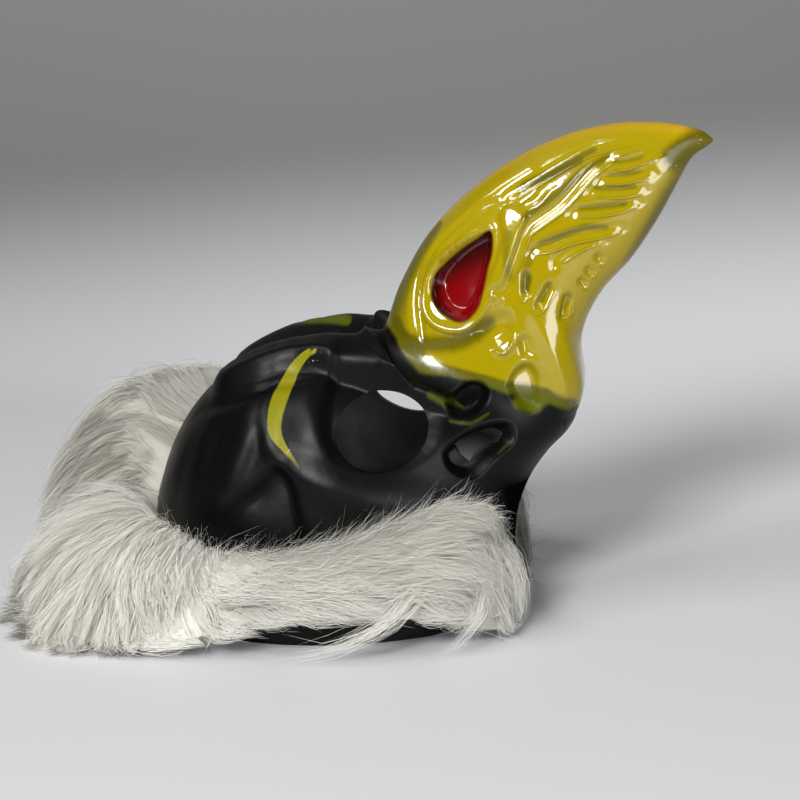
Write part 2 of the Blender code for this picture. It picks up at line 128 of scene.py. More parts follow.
FACE_RIDGES = {
    "brow_crease": ("top", (
        (-12, 43, -0.3, 3, 4), (-22, 43, -1.3, 3, 4.5), (-36, 44, -1.9, 3, 4.5),
        (-48, 42, -1.9, 3, 4.5), (-58, 37, -1.5, 3, 4.5), (-68, 27, -0.6, 3, 4.5),
    )),
    "brow_crease_lip": ("top", (
        (-18, 34, 0.2, 6, 5), (-30, 34, 0.9, 6, 5), (-44, 33, 1.0, 6, 5), (-56, 27, 0.7, 6, 5),
        (-66, 18, 0.2, 6, 5),
    )),
    "eye_ring": ("side", (
        (-8, 120, 0.4, 7, 10), (-13, 113, 0.9, 7, 12), (-14, 105, 1.2, 7, 13), (-12, 96, 1.2, 7, 14),
        (-10, 90, 1.2, 7, 14), (-6, 83, 1.0, 7, 13), (0, 77, 0.4, 7, 11),
    )),
    "cheekbone": ("side", (
        (-22, 80, 1.2, 10, 9), (-12, 73, 3.2, 13, 10), (0, 68, 4.4, 16, 13), (12, 64, 4.8, 18, 16),
        (24, 60, 4.6, 20, 18), (38, 56, 4.0, 20, 18), (52, 55, 2.6, 16, 14),
    )),
    "temple_fold": ("side", (
        (-33, 112, 0.4, 7, 12), (-36, 104, 1.4, 7, 14), (-38, 96, 2.2, 7, 15), (-40, 88, 2.6, 7, 15),
        (-43, 79, 2.6, 7, 15), (-47, 69, 2.0, 7, 14), (-51, 60, 0.7, 7, 12),
    )),
    "temple_fold_2": ("side", (
        (-50, 104, 0.3, 7, 10), (-56, 94, 1.0, 7, 12), (-60, 83, 1.4, 7, 13), (-63, 71, 1.4, 7, 13),
        (-67, 58, 1.0, 7, 12), (-71, 44, 0.3, 7, 10),
    )),
    "temple_fold_3": ("side", (
        (-68, 92, 0.2, 6, 9), (-73, 80, 0.7, 6, 10), (-77, 66, 0.9, 6, 10), (-81, 50, 0.5, 6, 10),
        (-84, 36, 0.2, 6, 9),
    )),
    "stripe_fold": ("side", (
        (-24, 118, 0.3, 5, 5), (-29, 110, 1.0, 5, 5), (-32, 98, 1.4, 5, 4.5), (-31, 88, 1.2, 5, 4.5),
        (-27, 80, 0.6, 5, 5),
    )),
    "eyelid": ("side", (
        (16, 111, 1, 3.5, 3.5), (24, 109.5, 2.6, 4, 4), (34, 106.5, 3.4, 4.5, 4.5),
        (44, 102, 3, 4.5, 4.5), (52, 97, 1.2, 4, 4),
    )),
}

# The shares of a ridge's left and right widths that stay level, where any do
RIDGE_CORES = {
    "temple_fold": (0.0, 0.1),
    "temple_fold_2": (0.0, 0.1),
    "temple_fold_3": (0.0, 0.1),
    "stripe_fold": (0.1, 0.1),
    "eyelid": (0.1, 0.1),
    "lip_bulge": (0.3, 0.1),
}

# The main forms of the beak
BEAK_PADS = {
    "teardrop": ("side", (
        (62, 177, -6, 4), (50, 172, -7, 3.5), (40, 163, -8, 3.5), (35, 153, -8, 4), (37, 143, -7, 6),
        (43, 137, -6, 7), (51, 136, -5, 7), (57, 141, -5, 6), (61, 152, -6, 5), (63, 164, -6, 4.5),
    )),
    "nostril_pocket": ("side", (
        (44, 103, -8, 4), (50, 109, -8, 4), (57, 112, -7, 4), (63, 109, -6, 4.5), (63, 101, -6, 5),
        (57, 96, -7, 5), (48, 96, -8, 4.5),
    )),
    "lower_pocket": ("side", (
        (45, 83, -8, 4.5), (52, 90, -8, 4.5), (63, 94, -8, 4.5), (73, 93, -7, 4.5), (75, 84, -6, 5),
        (67, 77, -7, 5), (58, 69, -8, 5), (48, 74, -8, 4.5),
    )),
    "gape_groove": ("side", (
        (70, 108, -3, 4), (74, 117, -4, 4), (81, 119, -4.5, 4), (86, 112, -4.5, 4), (86, 99, -4, 4),
        (78, 96, -3, 5),
    )),
    "lobe": ("side", (
        (65, 184, 2, 3), (72, 188, 2, 2.5), (79, 183, 2, 2.5), (76, 171, 2, 3), (72, 158, 2, 3.5),
        (68, 150, 1.5, 4), (60, 151, 1.5, 3.5), (63, 162, 2, 3), (66, 173, 2, 3),
    )),
    "cheek_dent": ("side", (
        (52, 132, -3, 8), (62, 142, -3, 7), (73, 142, -3, 7), (74, 131, -3, 6), (64, 123, -3, 7),
    )),
}
BEAK_RIDGES = {
    "teardrop_rim": ("side", (
        (62, 176.5, 0.8, 2.5, 2.5), (55.5, 173.8, 1.2, 2.8, 2.5), (46.4, 168.3, 1.5, 3, 2.6),
        (39.4, 162, 1.7, 3, 2.8), (34.6, 154, 1.9, 3.2, 3), (32.8, 146, 1.9, 3.2, 3),
        (33.8, 139.5, 1.9, 3.2, 3), (38, 134.7, 2.0, 3.4, 3), (44.7, 132.6, 2.1, 3.6, 3),
        (51, 132.9, 2.1, 3.6, 3), (56.2, 136.5, 1.8, 3.2, 3), (60.2, 142.4, 1.4, 3, 3),
        (63, 148, 1, 2.6, 2.6),
    )),
    "culmen_edge": ("side", (
        (27, 132, 1, 5, 5), (26, 148, 1.4, 5, 5), (33, 163, 1.4, 5, 5), (46, 177, 1.2, 5, 5),
        (60, 190, 1, 5, 5), (78, 203, 0.8, 5, 5),
    )),
    "culmen_groove": ("side", (
        (33, 128, -0.8, 1.8, 1.8), (30.5, 141, -1.3, 1.8, 1.8), (30.5, 151, -1.4, 1.8, 1.8),
        (33, 160, -1.3, 1.8, 1.8), (39, 169, -1.2, 1.8, 1.8), (47, 177, -1.2, 1.8, 1.8),
        (57, 185.5, -1.0, 1.8, 1.8), (64, 189, -0.4, 1.8, 1.8),
    )),
    "culmen_groove_2": ("side", (
        (40, 167, -0.3, 1.5, 1.5), (46.2, 172.7, -0.8, 1.5, 1.5), (53.2, 178.9, -0.8, 1.5, 1.5),
        (60.3, 184.1, -0.3, 1.5, 1.5),
    )),
    "crescent": ("side", (
        (65, 124, 1, 1.8, 1.8), (68, 122.5, 1.4, 1.8, 1.8), (72, 125, 1.4, 1.8, 1.8),
        (74, 130, 0.8, 1.8, 1.8),
    )),
    "dent_by_crescent": ("side", ((78, 128, -2, 4, 4), (79, 123, -1.5, 4, 4))),
    "groove_rim": ("side", (
        (69, 108, 0.3, 2, 2), (73, 117, 0.5, 2, 2), (79, 121, 0.6, 2, 2), (85, 118, 0.4, 2, 2),
        (88, 111, 0.2, 2, 2),
    )),
    "pit_1": ("side", ((78, 157, -2, 3, 3), (78, 150, -2.2, 3, 3))),
    "pit_2": ("side", ((88, 152, -2, 3, 3), (84, 144, -2.4, 3, 3))),
    "pit_3": ("side", ((96, 147, -2, 3, 3), (94, 139, -2.4, 3, 3))),
    "dimple_1": ("side", ((109, 165, -1.8, 2.6, 2.6), (110, 164, -1.8, 2.6, 2.6))),
    "dimple_2": ("side", ((105, 159, -1.8, 2.6, 2.6), (106, 158, -1.8, 2.6, 2.6))),
    "dimple_3": ("side", ((102, 154, -1.8, 2.6, 2.6), (103, 153, -1.8, 2.6, 2.6))),
    "knot": ("side", ((64, 148, 1, 2.5, 2.5), (67, 147, 1, 2.5, 2.5))),
    "lip_bulge": ("side", (
        (82, 150, 0.2, 12, 10), (86, 138, 1.6, 13, 9), (90, 125, 3.4, 12, 9), (93, 113, 4.8, 11, 8),
        (94.5, 103, 4.8, 10, 7), (95, 92, 0.8, 8, 7),
    )),
}
VEINS = {
    "upper": (
        (71, 188.5, 0.5, 1.5, 0.8, 0.5), (78, 192.5, 0.8, 1.6, 1.3, 0.75),
        (85, 197, 0.9, 1.6, 1.6, 0.8), (92, 201.3, 0.9, 1.6, 1.6, 0.8), (99, 205.3, 0.9, 1.6, 1.4, 0.8),
        (106, 208.8, 0.8, 1.6, 1.2, 0.75), (113, 210.6, 0.7, 1.5, 0.8, 0.65),
        (122, 212.6, 0.3, 1.4, 0.3, 0.2),
    ),
    "main": (
        (72.5, 154, 0.4, 1.5, 0.5, 0.4), (75, 161, 0.8, 1.6, 0.9, 0.7), (78, 169, 0.9, 1.6, 1.4, 0.8),
        (80, 174.5, 0.9, 1.7, 1.4, 0.8), (86, 179.2, 0.9, 1.7, 1.4, 0.85),
        (93, 184.3, 0.9, 1.7, 1.5, 0.85), (98.5, 190, 0.9, 1.7, 1.5, 0.85),
        (103.5, 196, 0.9, 1.7, 1.4, 0.85), (108, 200.7, 0.9, 1.7, 1.2, 0.8),
        (113, 204.8, 0.8, 1.6, 1.0, 0.75), (118, 208.8, 0.7, 1.5, 0.6, 0.7),
        (126, 211.1, 0.3, 1.4, 0.3, 0.3),
    ),
    "branch_1": (
        (113.5, 203.4, 0.5, 1.4, 0.8, 0.5), (119, 202.4, 0.8, 1.5, 1.2, 0.75),
        (126, 204.8, 0.8, 1.5, 1.1, 0.7), (132.5, 207.2, 0.4, 1.4, 0.4, 0.3),
    ),
    "branch_2": (
        (111.5, 196.2, 0.5, 1.4, 0.8, 0.5), (117, 196.3, 0.8, 1.5, 1.3, 0.75),
        (123, 197.4, 0.8, 1.5, 1.2, 0.75), (130, 198.9, 0.5, 1.4, 0.4, 0.55),
    ),
    "branch_3": (
        (107.5, 191, 0.5, 1.4, 0.8, 0.45), (115, 190.5, 0.8, 1.5, 1.3, 0.75),
        (122, 191.2, 0.8, 1.5, 1.2, 0.75), (126.6, 192.1, 0.5, 1.4, 0.4, 0.5),
    ),
    "branch_4": (
        (100.2, 182.3, 0.5, 1.5, 1.0, 0.65), (108, 182.7, 0.9, 1.6, 1.5, 0.8),
        (116.5, 183.7, 0.9, 1.6, 1.4, 0.8), (124.3, 186.2, 0.5, 1.5, 0.6, 0.55),
    ),
    "branch_5": (
        (83.2, 166, 0.6, 1.5, 1.0, 0.6), (90, 167.7, 0.9, 1.6, 1.7, 0.85),
        (97, 170.5, 0.9, 1.6, 1.7, 0.9), (104, 172, 0.9, 1.6, 1.5, 0.85),
        (111.8, 173.6, 0.8, 1.6, 1.2, 0.75), (117.2, 175, 0.5, 1.5, 0.6, 0.6),
    ),
    "branch_6": (
        (93.7, 162.3, 0.7, 1.6, 0.8, 0.75), (98, 165.3, 0.9, 1.7, 1.0, 0.85),
        (104, 168.7, 0.7, 1.6, 0.8, 0.7), (110, 170.1, 0.4, 1.5, 0.4, 0.3),
    ),
    "twig_1": (
        (71, 188.1, 0.4, 1.2, 0.0, 0.4), (74, 187.4, 0.7, 1.3, 0.4, 0.55),
        (77.5, 189.8, 0.7, 1.3, 0.5, 0.55), (81.4, 192.1, 0.3, 1.2, 0.3, 0.25),
    ),
    "twig_2": (
        (77.7, 184.7, 0.5, 1.3, 0.4, 0.5), (82.7, 186.9, 0.8, 1.4, 0.8, 0.65),
        (86.5, 190.8, 0.7, 1.4, 0.7, 0.6), (88.9, 193.7, 0.3, 1.3, 0.3, 0.2),
    ),
}
# More fine raised lines: x, z and the bead's radius
BEADS = {
    "drip_2": (
        (82.9, 155.1, 0.35), (83.3, 151, 0.5), (81.3, 146, 0.5), (81, 141.5, 0.6), (84, 140.2, 0.65),
        (88.1, 144, 0.6), (91.3, 149, 0.35),
    ),
    "drip_3": ((90.6, 141.4, 0.4), (94, 137.8, 0.65), (97.9, 139.9, 0.65), (99.3, 145.3, 0.4)),
    "drip_1": ((74.4, 147.4, 0.4), (77, 145.4, 0.6), (79.8, 147.8, 0.4)),
    "dimple_1": ((108.6, 163.2, 0.3), (110.5, 160.9, 0.6), (112.6, 163, 0.3)),
    "dimple_2": ((104.3, 158.2, 0.3), (106.6, 155.5, 0.6), (108.8, 158, 0.3)),
    "dimple_3": ((100.7, 153, 0.3), (103, 150.1, 0.6), (105.6, 152.4, 0.3)),
    "crescent": ((65, 124.3, 0.4), (68.2, 122.9, 0.8), (71.2, 124.8, 0.75), (73.6, 129.4, 0.35)),
}

# Cut-outs, as side outlines (x, z) that go straight through both cheeks
EYE_CENTRE = (18.0, 91.5)
EYE_HALF = (20.0, 16.0)
EYE_SIDES = 96
NOSTRIL_CUTS = {
    "nostril_cut": ((47.5, 101), (52, 98), (57, 100.5), (59.5, 104), (59, 107), (55, 108), (49.5, 105.5)),
    "lower_cut": (
        (48.5, 84), (51, 79), (55, 75.5), (57, 79), (61, 82), (67, 83), (69, 87), (65, 90.5), (57, 89),
        (51.5, 87),
    ),
}


# Shape of the shell


def spline(rows, at):
    """Reads a Catmull-Rom curve through rows at the fractional row numbers in at."""
    rows = np.asarray(rows, float)
    padded = np.vstack([2 * rows[0] - rows[1], rows, 2 * rows[-1] - rows[-2]])
    start = np.clip(np.floor(at).astype(int), 0, len(rows) - 2)
    u = (np.asarray(at) - start)[:, None]
    p0, p1, p2, p3 = (padded[start + k] for k in range(4))
    return 0.5 * (
        2 * p1
        + (p2 - p0) * u
        + (2 * p0 - 5 * p1 + 4 * p2 - p3) * u**2
        + (3 * p1 - p0 - 3 * p2 + p3) * u**3
    )


def smooth_line(rows, steps, closed=False):
    """A finer row of points along a smooth line through rows."""
    rows = np.asarray(rows, float)
    if closed:
        ring = np.vstack([rows[-1], rows, rows[:2]])
        return spline(ring, np.arange(len(rows) * steps) / steps + 1)
    return spline(rows, np.linspace(0, len(rows) - 1, (len(rows) - 1) * steps + 1))


def loft(along, around):
    """Points of the plain shell: rows run from the tip to the rim, columns go round from the back."""
    rows = spline(list(SECTIONS.values()), along)
    back, front = rows[:, None, 0:2], rows[:, None, 2:4]
    width, egg, square = (rows[:, k][:, None] for k in (4, 5, 6))
    cosine, sine = np.cos(around)[None, :], np.sin(around)[None, :]
    forward = np.sign(cosine) * np.abs(cosine) ** (2 / square)
    sideways = np.sign(sine) * np.abs(sine) ** (2 / square)
    middle = (back + front) / 2 + (back - front) / 2 * forward[..., None]
    y = -width * sideways * (1 + egg * forward)
    return np.stack([middle[..., 0], y, middle[..., 1]], axis=-1)


def unit(vectors):
    """Vectors brought to length 1."""
    return vectors / np.maximum(np.linalg.norm(vectors, axis=-1, keepdims=True), 1e-9)


def normals_of(grid):
    """Outward unit normals of a grid of rows by columns that closes round its columns."""
    sideways = np.roll(grid, -1, axis=1) - np.roll(grid, 1, axis=1)
    return unit(np.cross(np.gradient(grid, axis=0), sideways))


def smoothstep(t):
    """Goes smoothly from 0 to 1 as t does."""
    t = np.clip(t, 0, 1)
    return t * t * (3 - 2 * t)


def bump(t):
    """A smooth hump: 1 at 0, falling to 0 at 1 and -1."""
    return np.clip(1 - t * t, 0, 1) ** 2


def to_segment(flat, a, b):
    """How far along the stretch from a to b each point's nearest place is, and its offset."""
    step = b[:2] - a[:2]
    t = np.clip((flat - a[:2]) @ step / (step @ step + 1e-12), 0, 1)
    return t, flat - (a[:2] + t[:, None] * step), step


def along_line(flat, line):
    """For each point: its signed distance from a line (left is positive) and the line's row there."""
    best = np.full(len(flat), np.inf)
    signed = np.zeros(len(flat))
    rows = np.zeros((len(flat), line.shape[1]))
    for a, b in zip(line[:-1], line[1:]):
        t, off, step = to_segment(flat, a, b)
        distance = np.hypot(off[:, 0], off[:, 1])
        left_side = step[0] * off[:, 1] - step[1] * off[:, 0] > 0
        nearer = distance < best
        best = np.where(nearer, distance, best)
        signed = np.where(nearer, np.where(left_side, distance, -distance), signed)
        rows = np.where(nearer[:, None], a + t[:, None] * (b - a), rows)
    return signed, rows


def ridge_lift(flat, cores, line):
    """Height of a ridge at points on its view's plane."""
    signed, rows = along_line(flat, smooth_line(line, 3))
    left_side = signed > 0
    width = np.where(left_side, rows[:, 3], rows[:, 4])
    core = np.where(left_side, cores[0], cores[1])
    return rows[:, 2] * (1 - smoothstep((np.abs(signed) / width - core) / (1 - core)))


def vein_lift(flat, line):
    """Height of a vein's foot and of the trough on its left side."""
    signed, rows = along_line(flat, smooth_line(line, 3))
    width = rows[:, 3]
    trough = bump((signed / width - 2.3) / 1.9)
    return VEIN_RISE * rows[:, 2] * bump(signed / width) - VEIN_TROUGH * rows[:, 4] * trough


def inside_share(flat, ring):
    """How far inside a closed outline each point is, as a share of the outline's last column."""
    share = np.full(len(flat), np.inf)
    inside = np.zeros(len(flat), bool)
    for a, b in zip(ring, np.roll(ring, -1, axis=0)):
        t, off, step = to_segment(flat, a, b)
        soft = a[-1] + t * (b[-1] - a[-1])
        share = np.minimum(share, np.hypot(off[:, 0], off[:, 1]) / soft)
        spans = (a[1] > flat[:, 1]) != (b[1] > flat[:, 1])
        slope = step[0] / step[1] if step[1] else 0.0
        inside ^= spans & (flat[:, 0] < a[0] + (flat[:, 1] - a[1]) * slope)
    return np.where(inside, share, -share)


def pad_lift(flat, outline):
    """Height of a pad at points on its view's plane."""
    rows = np.asarray(outline, float)
    apart = ((flat[:, None, :] - rows[None, :, :2]) ** 2).sum(axis=2) + 1.0
    rise = (rows[:, 2] / apart).sum(axis=1) / (1 / apart).sum(axis=1)
    return rise * smoothstep(inside_share(flat, smooth_line(rows, 4, closed=True)))


def raise_forms(grid, pads, ridges, veins=()):
    """Moves the grid's points along their normals by the pads, ridges and veins."""
    points = grid.reshape(-1, 3)
    normals = normals_of(grid).reshape(-1, 3)
    views = {
        "side": points[:, [0, 2]],
        "top": np.stack([points[:, 0], np.abs(points[:, 1])], axis=1),
    }
    lift = np.zeros(len(points))
    for view, outline in pads.values():
        lift += pad_lift(views[view], outline)
    for name, (view, line) in ridges.items():
        lift += ridge_lift(views[view], RIDGE_CORES.get(name, (0.0, 0.0)), line)
    for line in veins:
        lift += vein_lift(views["side"], line)
    return (points + normals * lift[:, None]).reshape(grid.shape)


def shell_surface(along, around):
    """Outer surface of the shell, in millimetres."""
    grid = raise_forms(loft(along, around), FACE_PADS, FACE_RIDGES)
    grid = raise_forms(grid, BEAK_PADS, BEAK_RIDGES, VEINS.values())
    grid[-1, :, 2] = 0.0
    return grid


def smoothed(field, times):
    """Averages a grid of unit vectors with its neighbours, so many times."""
    for _ in range(times):
        up = np.vstack([field[:1], field[:-1]])
        down = np.vstack([field[1:], field[-1:]])
        field = unit(field * 2 + up + down + np.roll(field, 1, axis=1) + np.roll(field, -1, axis=1))
    return field


def row_places(count):
    """Fractional section numbers of the shell's rows, crowded where its forms are fine."""
    filled = np.concatenate([[0.0], np.cumsum(ROW_SHARES)])
    return np.interp(np.linspace(0, filled[-1], count), filled, np.arange(len(filled)))


def column_angles(count):
    """Angles of the shell's columns of points, from the middle of the forehead."""
    even = np.arange(count) * 2 * math.pi / count
    return even + CROWDING * np.sin(2 * even)


# Meshes


def placed(points):
    """Table millimetres to the part's metres."""
    return (np.asarray(points, float) - (ORIGIN_X, 0, 0)) * MM


def quads_of(rows, columns, first=0, flip=False):
    """Faces of a grid of points that closes round its columns."""
    row, column = np.meshgrid(np.arange(rows - 1), np.arange(columns), indexing="ij")
    after = (column + 1) % columns
    corners = (row * columns + column, (row + 1) * columns + column,
               (row + 1) * columns + after, row * columns + after)
    faces = np.stack(corners, axis=-1).reshape(-1, 4) + first
    return faces[:, ::-1] if flip else faces


def mesh_object(name, points, blocks, materials):
    """A smooth object of points in metres and blocks of faces, each face a row of a block."""
    mesh = bpy.data.meshes.new(name)
    corners = np.concatenate([np.ravel(block) for block in blocks])
    sizes = np.concatenate([np.full(len(block), np.shape(block)[1]) for block in blocks])
    mesh.vertices.add(len(points))
    mesh.vertices.foreach_set("co", np.asarray(points, np.float32).ravel())
    mesh.loops.add(len(corners))
    mesh.loops.foreach_set("vertex_index", corners.astype(np.int32))
    mesh.polygons.add(len(sizes))
    mesh.polygons.foreach_set("loop_start", (np.cumsum(sizes) - sizes).astype(np.int32))
    mesh.update(calc_edges=True)
    mesh.polygons.foreach_set("use_smooth", [True] * len(sizes))
    for material in materials:
        mesh.materials.append(material)
    item = bpy.data.objects.new(name, mesh)
    bpy.context.scene.collection.objects.link(item)
    return item


def cutter_of(outlines):
    """One hidden cutter: each side outline (x, z) drawn out across the face to both sides."""
    build = bmesh.new()
    for outline in outlines:
        near, far = (
            [build.verts.new(Vector(placed((x, y, z)))) for x, z in outline]
            for y in (-BEYOND, BEYOND)
        )
        for k in range(len(near)):
            after = (k + 1) % len(near)
            build.faces.new((near[k], near[after], far[after], far[k]))
        build.faces.new(near)
        build.faces.new(far)
    bmesh.ops.recalc_face_normals(build, faces=build.faces[:])
    mesh = bpy.data.meshes.new("cutter")
    build.to_mesh(mesh)
    build.free()
    cutter = bpy.data.objects.new("cutter", mesh)
    bpy.context.scene.collection.objects.link(cutter)
    return cutter


def eye_outline():
    """The eye hole's outline."""
    turns = np.arange(EYE_SIDES) * 2 * math.pi / EYE_SIDES
    return [
        (EYE_CENTRE[0] + EYE_HALF[0] * math.cos(t), EYE_CENTRE[1] + EYE_HALF[1] * math.sin(t))
        for t in turns
    ]


def apply_modifiers(item):
    """Replaces an object's mesh with its evaluated one."""
    graph = bpy.context.evaluated_depsgraph_get()
    mesh = bpy.data.meshes.new_from_object(item.evaluated_get(graph))
    item.modifiers.clear()
    item.data = mesh


def make_shell(outer, paint, bare):
    """The formed sheet: a fine outer skin, a coarser inner one, and the cut-outs."""
    along = row_places(OUTER_ROWS)
    inward = smoothed(normals_of(outer), 8)
    inner = outer - WALL * inward
    rim_out = inward[-1] * (1, 1, 0)
    inner[-1] = outer[-1] - WALL * rim_out / np.linalg.norm(rim_out, axis=-1, keepdims=True)
    half_widths = spline(list(SECTIONS.values()), along)[:, 4]
    first = int(np.argmax(half_widths > HOLLOW_FROM_WIDTH))
    picked = np.arange(OUTER_ROWS - 1, first, -INNER_STEP)[::-1]
    inner = inner[picked][:, ::INNER_STEP]
    outer_count = outer.shape[0] * outer.shape[1]
    inner_rows, inner_columns = inner.shape[:2]
    outer_rim = outer_count - OUTER_COLUMNS
    inner_rim = outer_count + (inner_rows - 1) * inner_columns
    rim = []
    for k in range(inner_columns):
        a, b, c = (outer_rim + (INNER_STEP * k + j) % OUTER_COLUMNS for j in range(3))
        p, q = inner_rim + k, inner_rim + (k + 1) % inner_columns
        rim += [(a, p, b), (b, p, q), (b, q, c)]
    painted = [quads_of(*outer.shape[:2]), np.arange(OUTER_COLUMNS)[None], np.array(rim)]
    unpainted = [
        quads_of(inner_rows, inner_columns, first=outer_count, flip=True),
        (outer_count + np.arange(inner_columns)[::-1])[None],
    ]
    points = placed(np.vstack([outer.reshape(-1, 3), inner.reshape(-1, 3)]))
    shell = mesh_object("painted_shell", points, painted + unpainted, [paint, bare])
    painted_count = sum(len(block) for block in painted)
    unpainted_count = sum(len(block) for block in unpainted)
    shell.data.polygons.foreach_set("material_index", [0] * painted_count + [1] * unpainted_count)
    cutter = cutter_of([eye_outline(), *NOSTRIL_CUTS.values()])
    boolean = shell.modifiers.new("cut", "BOOLEAN")
    boolean.operation = "DIFFERENCE"
    boolean.solver = "EXACT"
    boolean.object = cutter
    apply_modifiers(shell)
    bpy.data.objects.remove(cutter)
    shell.data.set_sharp_from_angle(angle=math.radians(60))
    places = np.zeros(len(shell.data.vertices) * 3, np.float32)
    shell.data.vertices.foreach_get("co", places)
    write_fields(shell.data, paint_fields(places.reshape(-1, 3) / MM + (ORIGIN_X, 0, 0)))
    return shell


def make_beads(outer, paint):
    """The fine raised lines, as tapered tubes laid along both sides of the beak."""
    corners = [Vector(point) for point in outer.reshape(-1, 3)]
    skin = BVHTree.FromPolygons(corners, quads_of(*outer.shape[:2]).tolist())
    lines = [np.array(line)[:, [0, 1, 5]] for line in VEINS.values()] + list(BEADS.values())
    points, blocks = [], []
    for line in lines:
        rows = smooth_line(line, BEAD_STEPS)
        places, outs = [], []
        for x, z, radius in rows:
            hit, normal, _, _ = skin.ray_cast(Vector((x, -BEYOND, z)), Vector((0.0, 1.0, 0.0)))
            outs.append(np.array(normal) * (-1 if normal.y > 0 else 1))
            places.append(np.array(hit) + outs[-1] * radius * BEAD_SIZE * BEAD_RISE)
        places, outs = np.array(places), np.array(outs)
        side = np.cross(unit(np.gradient(places, axis=0)), outs)
        count = len(rows)
        radii = BEAD_SIZE * rows[:, 2] * np.sin(np.linspace(0.12, math.pi - 0.12, count)) ** 0.25
        rings = []
        for turn in np.arange(BEAD_SIDES) * 2 * math.pi / BEAD_SIDES:
            rings.append(places + radii[:, None] * (math.cos(turn) * side + math.sin(turn) * outs))
        grid = np.stack(rings, axis=1)
        for mirror in (1, -1):
            first = sum(len(block) for block in points)
            ring = first + np.arange(BEAD_SIDES)
            faces = [quads_of(count, BEAD_SIDES, first=first, flip=True)]
            faces += [ring[::-1][None], ring[None] + (count - 1) * BEAD_SIDES]
            blocks += [block[:, ::mirror] for block in faces]
            points.append((grid * (1, mirror, 1)).reshape(-1, 3))
    places = np.vstack(points)
    beads = mesh_object("beak_veins", placed(places), blocks, [paint])
    write_fields(beads.data, paint_fields(places))
    return beads


# Paint


# Where each colour, the painted shade on the beak included, lies on the shell's side view (x, z), in
# millimetres.
# The beak's yellow is above this line, and the black face below it.
YELLOW_EDGE = (
    (-40, 150), (5, 134), (17, 131), (25, 122), (33, 115), (44, 114), (54, 111), (62, 111), (70, 108),
    (85, 104), (94, 100), (100, 98), (120, 90),
)
TEARDROP = (
    (62, 176), (56, 172), (50, 168), (42, 161), (37, 155), (36, 147), (39, 141), (45, 137), (50, 136),
    (54, 138), (58, 144), (60, 153), (61, 160), (63, 167),
)
# The lime stripe on each temple: its middle line and its half width, and how high it goes on the far
# temple
STRIPE = (
    (-13.5, 124, 1.4), (-17.5, 122, 2.0), (-22.5, 116, 2.9), (-25, 110, 3.7), (-27, 104, 4.2),
    (-28, 97, 3.8), (-27, 91, 3.1), (-23, 86, 1.8), (-19, 82, 1.1), (-14.5, 77.5, 0.4),
)
FAR_STRIPE_TOP = 112.0
# Olive overspray, and painted shade in the same olive in the beak's troughs, pits and groove: how strong
# each is, and its line of x, z and radius
OLIVE_SPRAY_AND_SHADE = {
    "beak_underside": (1.0, (
        (164, 210, 16), (152, 203, 15), (145, 193, 14), (138, 181, 13), (131, 169, 12), (124, 157, 10),
        (115, 145, 6),
    )),
    "beak_tip": (1.0, ((140, 208, 9), (150, 214, 11), (158, 216, 10))),
    "chamfer": (0.75, ((16, 138, 12), (22, 152, 10), (30, 166, 7), (38, 177, 3))),
    "under_teardrop": (0.8, ((28, 126, 7), (36, 126, 7), (46, 127, 8), (56, 131, 8), (62, 136, 6))),
    "by_boundary": (0.9, (
        (20, 133, 5), (27, 124, 6), (34, 117, 6), (45, 115, 4), (58, 112, 4), (70, 108, 5),
        (84, 105, 5), (98, 99, 6),
    )),
    # Painted shade, from here down to the groove's floor: in the troughs beside the veins, on the shaded
    # sides of the lobe and the drop, and in the pits
    "vein_trough_shade": (0.5, ((76, 196, 4), (88, 200, 4), (100, 206, 3))),
    "upper_trough_shade": (0.6, ((73, 193, 3), (84, 199, 3.6), (96, 206, 3.4), (106, 211, 2.6))),
    "main_trough_shade": (0.65, ((77, 182, 4), (86, 189, 5), (96, 197, 5), (105, 204, 4), (112, 208, 3))),
    "lobe_shade": (0.5, ((70, 176, 4), (69, 166, 4), (71, 156, 4))),
    "drop_side_shade": (0.5, ((81, 168, 4), (78, 160, 4.5), (77, 152, 4))),
    "pocket_shade": (0.65, ((79, 156, 3.5), (78, 150, 3))),
    "pocket_shade_2": (0.6, ((88, 153, 3.2), (85, 146, 3))),
    "pocket_shade_3": (0.55, ((97, 148, 3), (94, 141, 2.8))),
    "branch_4_shade": (0.6, ((101, 186, 3), (110, 187, 3.4), (120, 188, 2.8))),
    "branch_5_shade": (0.65, ((84, 171, 3.4), (92, 174, 4), (103, 178, 3.6), (112, 178, 2.8))),
    "branch_3_shade": (0.6, ((107, 195, 2.6), (115, 195, 3), (124, 195.5, 2.4))),
    "branch_2_shade": (0.55, ((113, 200.5, 2.6), (120, 201, 2.8), (126, 202, 2.2))),
    "branch_1_shade": (0.5, ((115, 206, 2.2), (121, 206.5, 2.4), (127, 208, 1.8))),
    "groove_floor_shade": (0.9, ((76, 101, 5), (83, 99, 6), (87, 104, 5))),
    "lid_end": (0.55, ((38, 106, 3), (46, 102, 4), (52, 99, 3))),
    "pocket_rim": (0.5, ((47, 95, 1.6), (56, 93.5, 1.8), (63, 97, 1.6))),
    "lower_pocket_rim": (0.4, ((68, 80, 1.6), (73, 84, 1.8))),
}
# More olive overspray, on the far brow alone
FAR_BROW_SPRAY = ((-40, 125.5, 3), (-30, 127.5, 4), (-18, 128.5, 4), (-8, 127.5, 3))
# Worn and speckled places: lines of x, z and radius
SCUFFS = {
    "tip": ((148, 213, 5), (155, 214, 5)),
    "hook": ((141, 204, 4), (139, 198, 4)),
    "stripe_top": ((-13, 122, 3), (-15, 121, 3)),
    "stripe_end": ((-23, 87, 3.5), (-21, 85, 3)),
    "lip_edge": ((97, 103, 3), (98, 100, 3)),
}
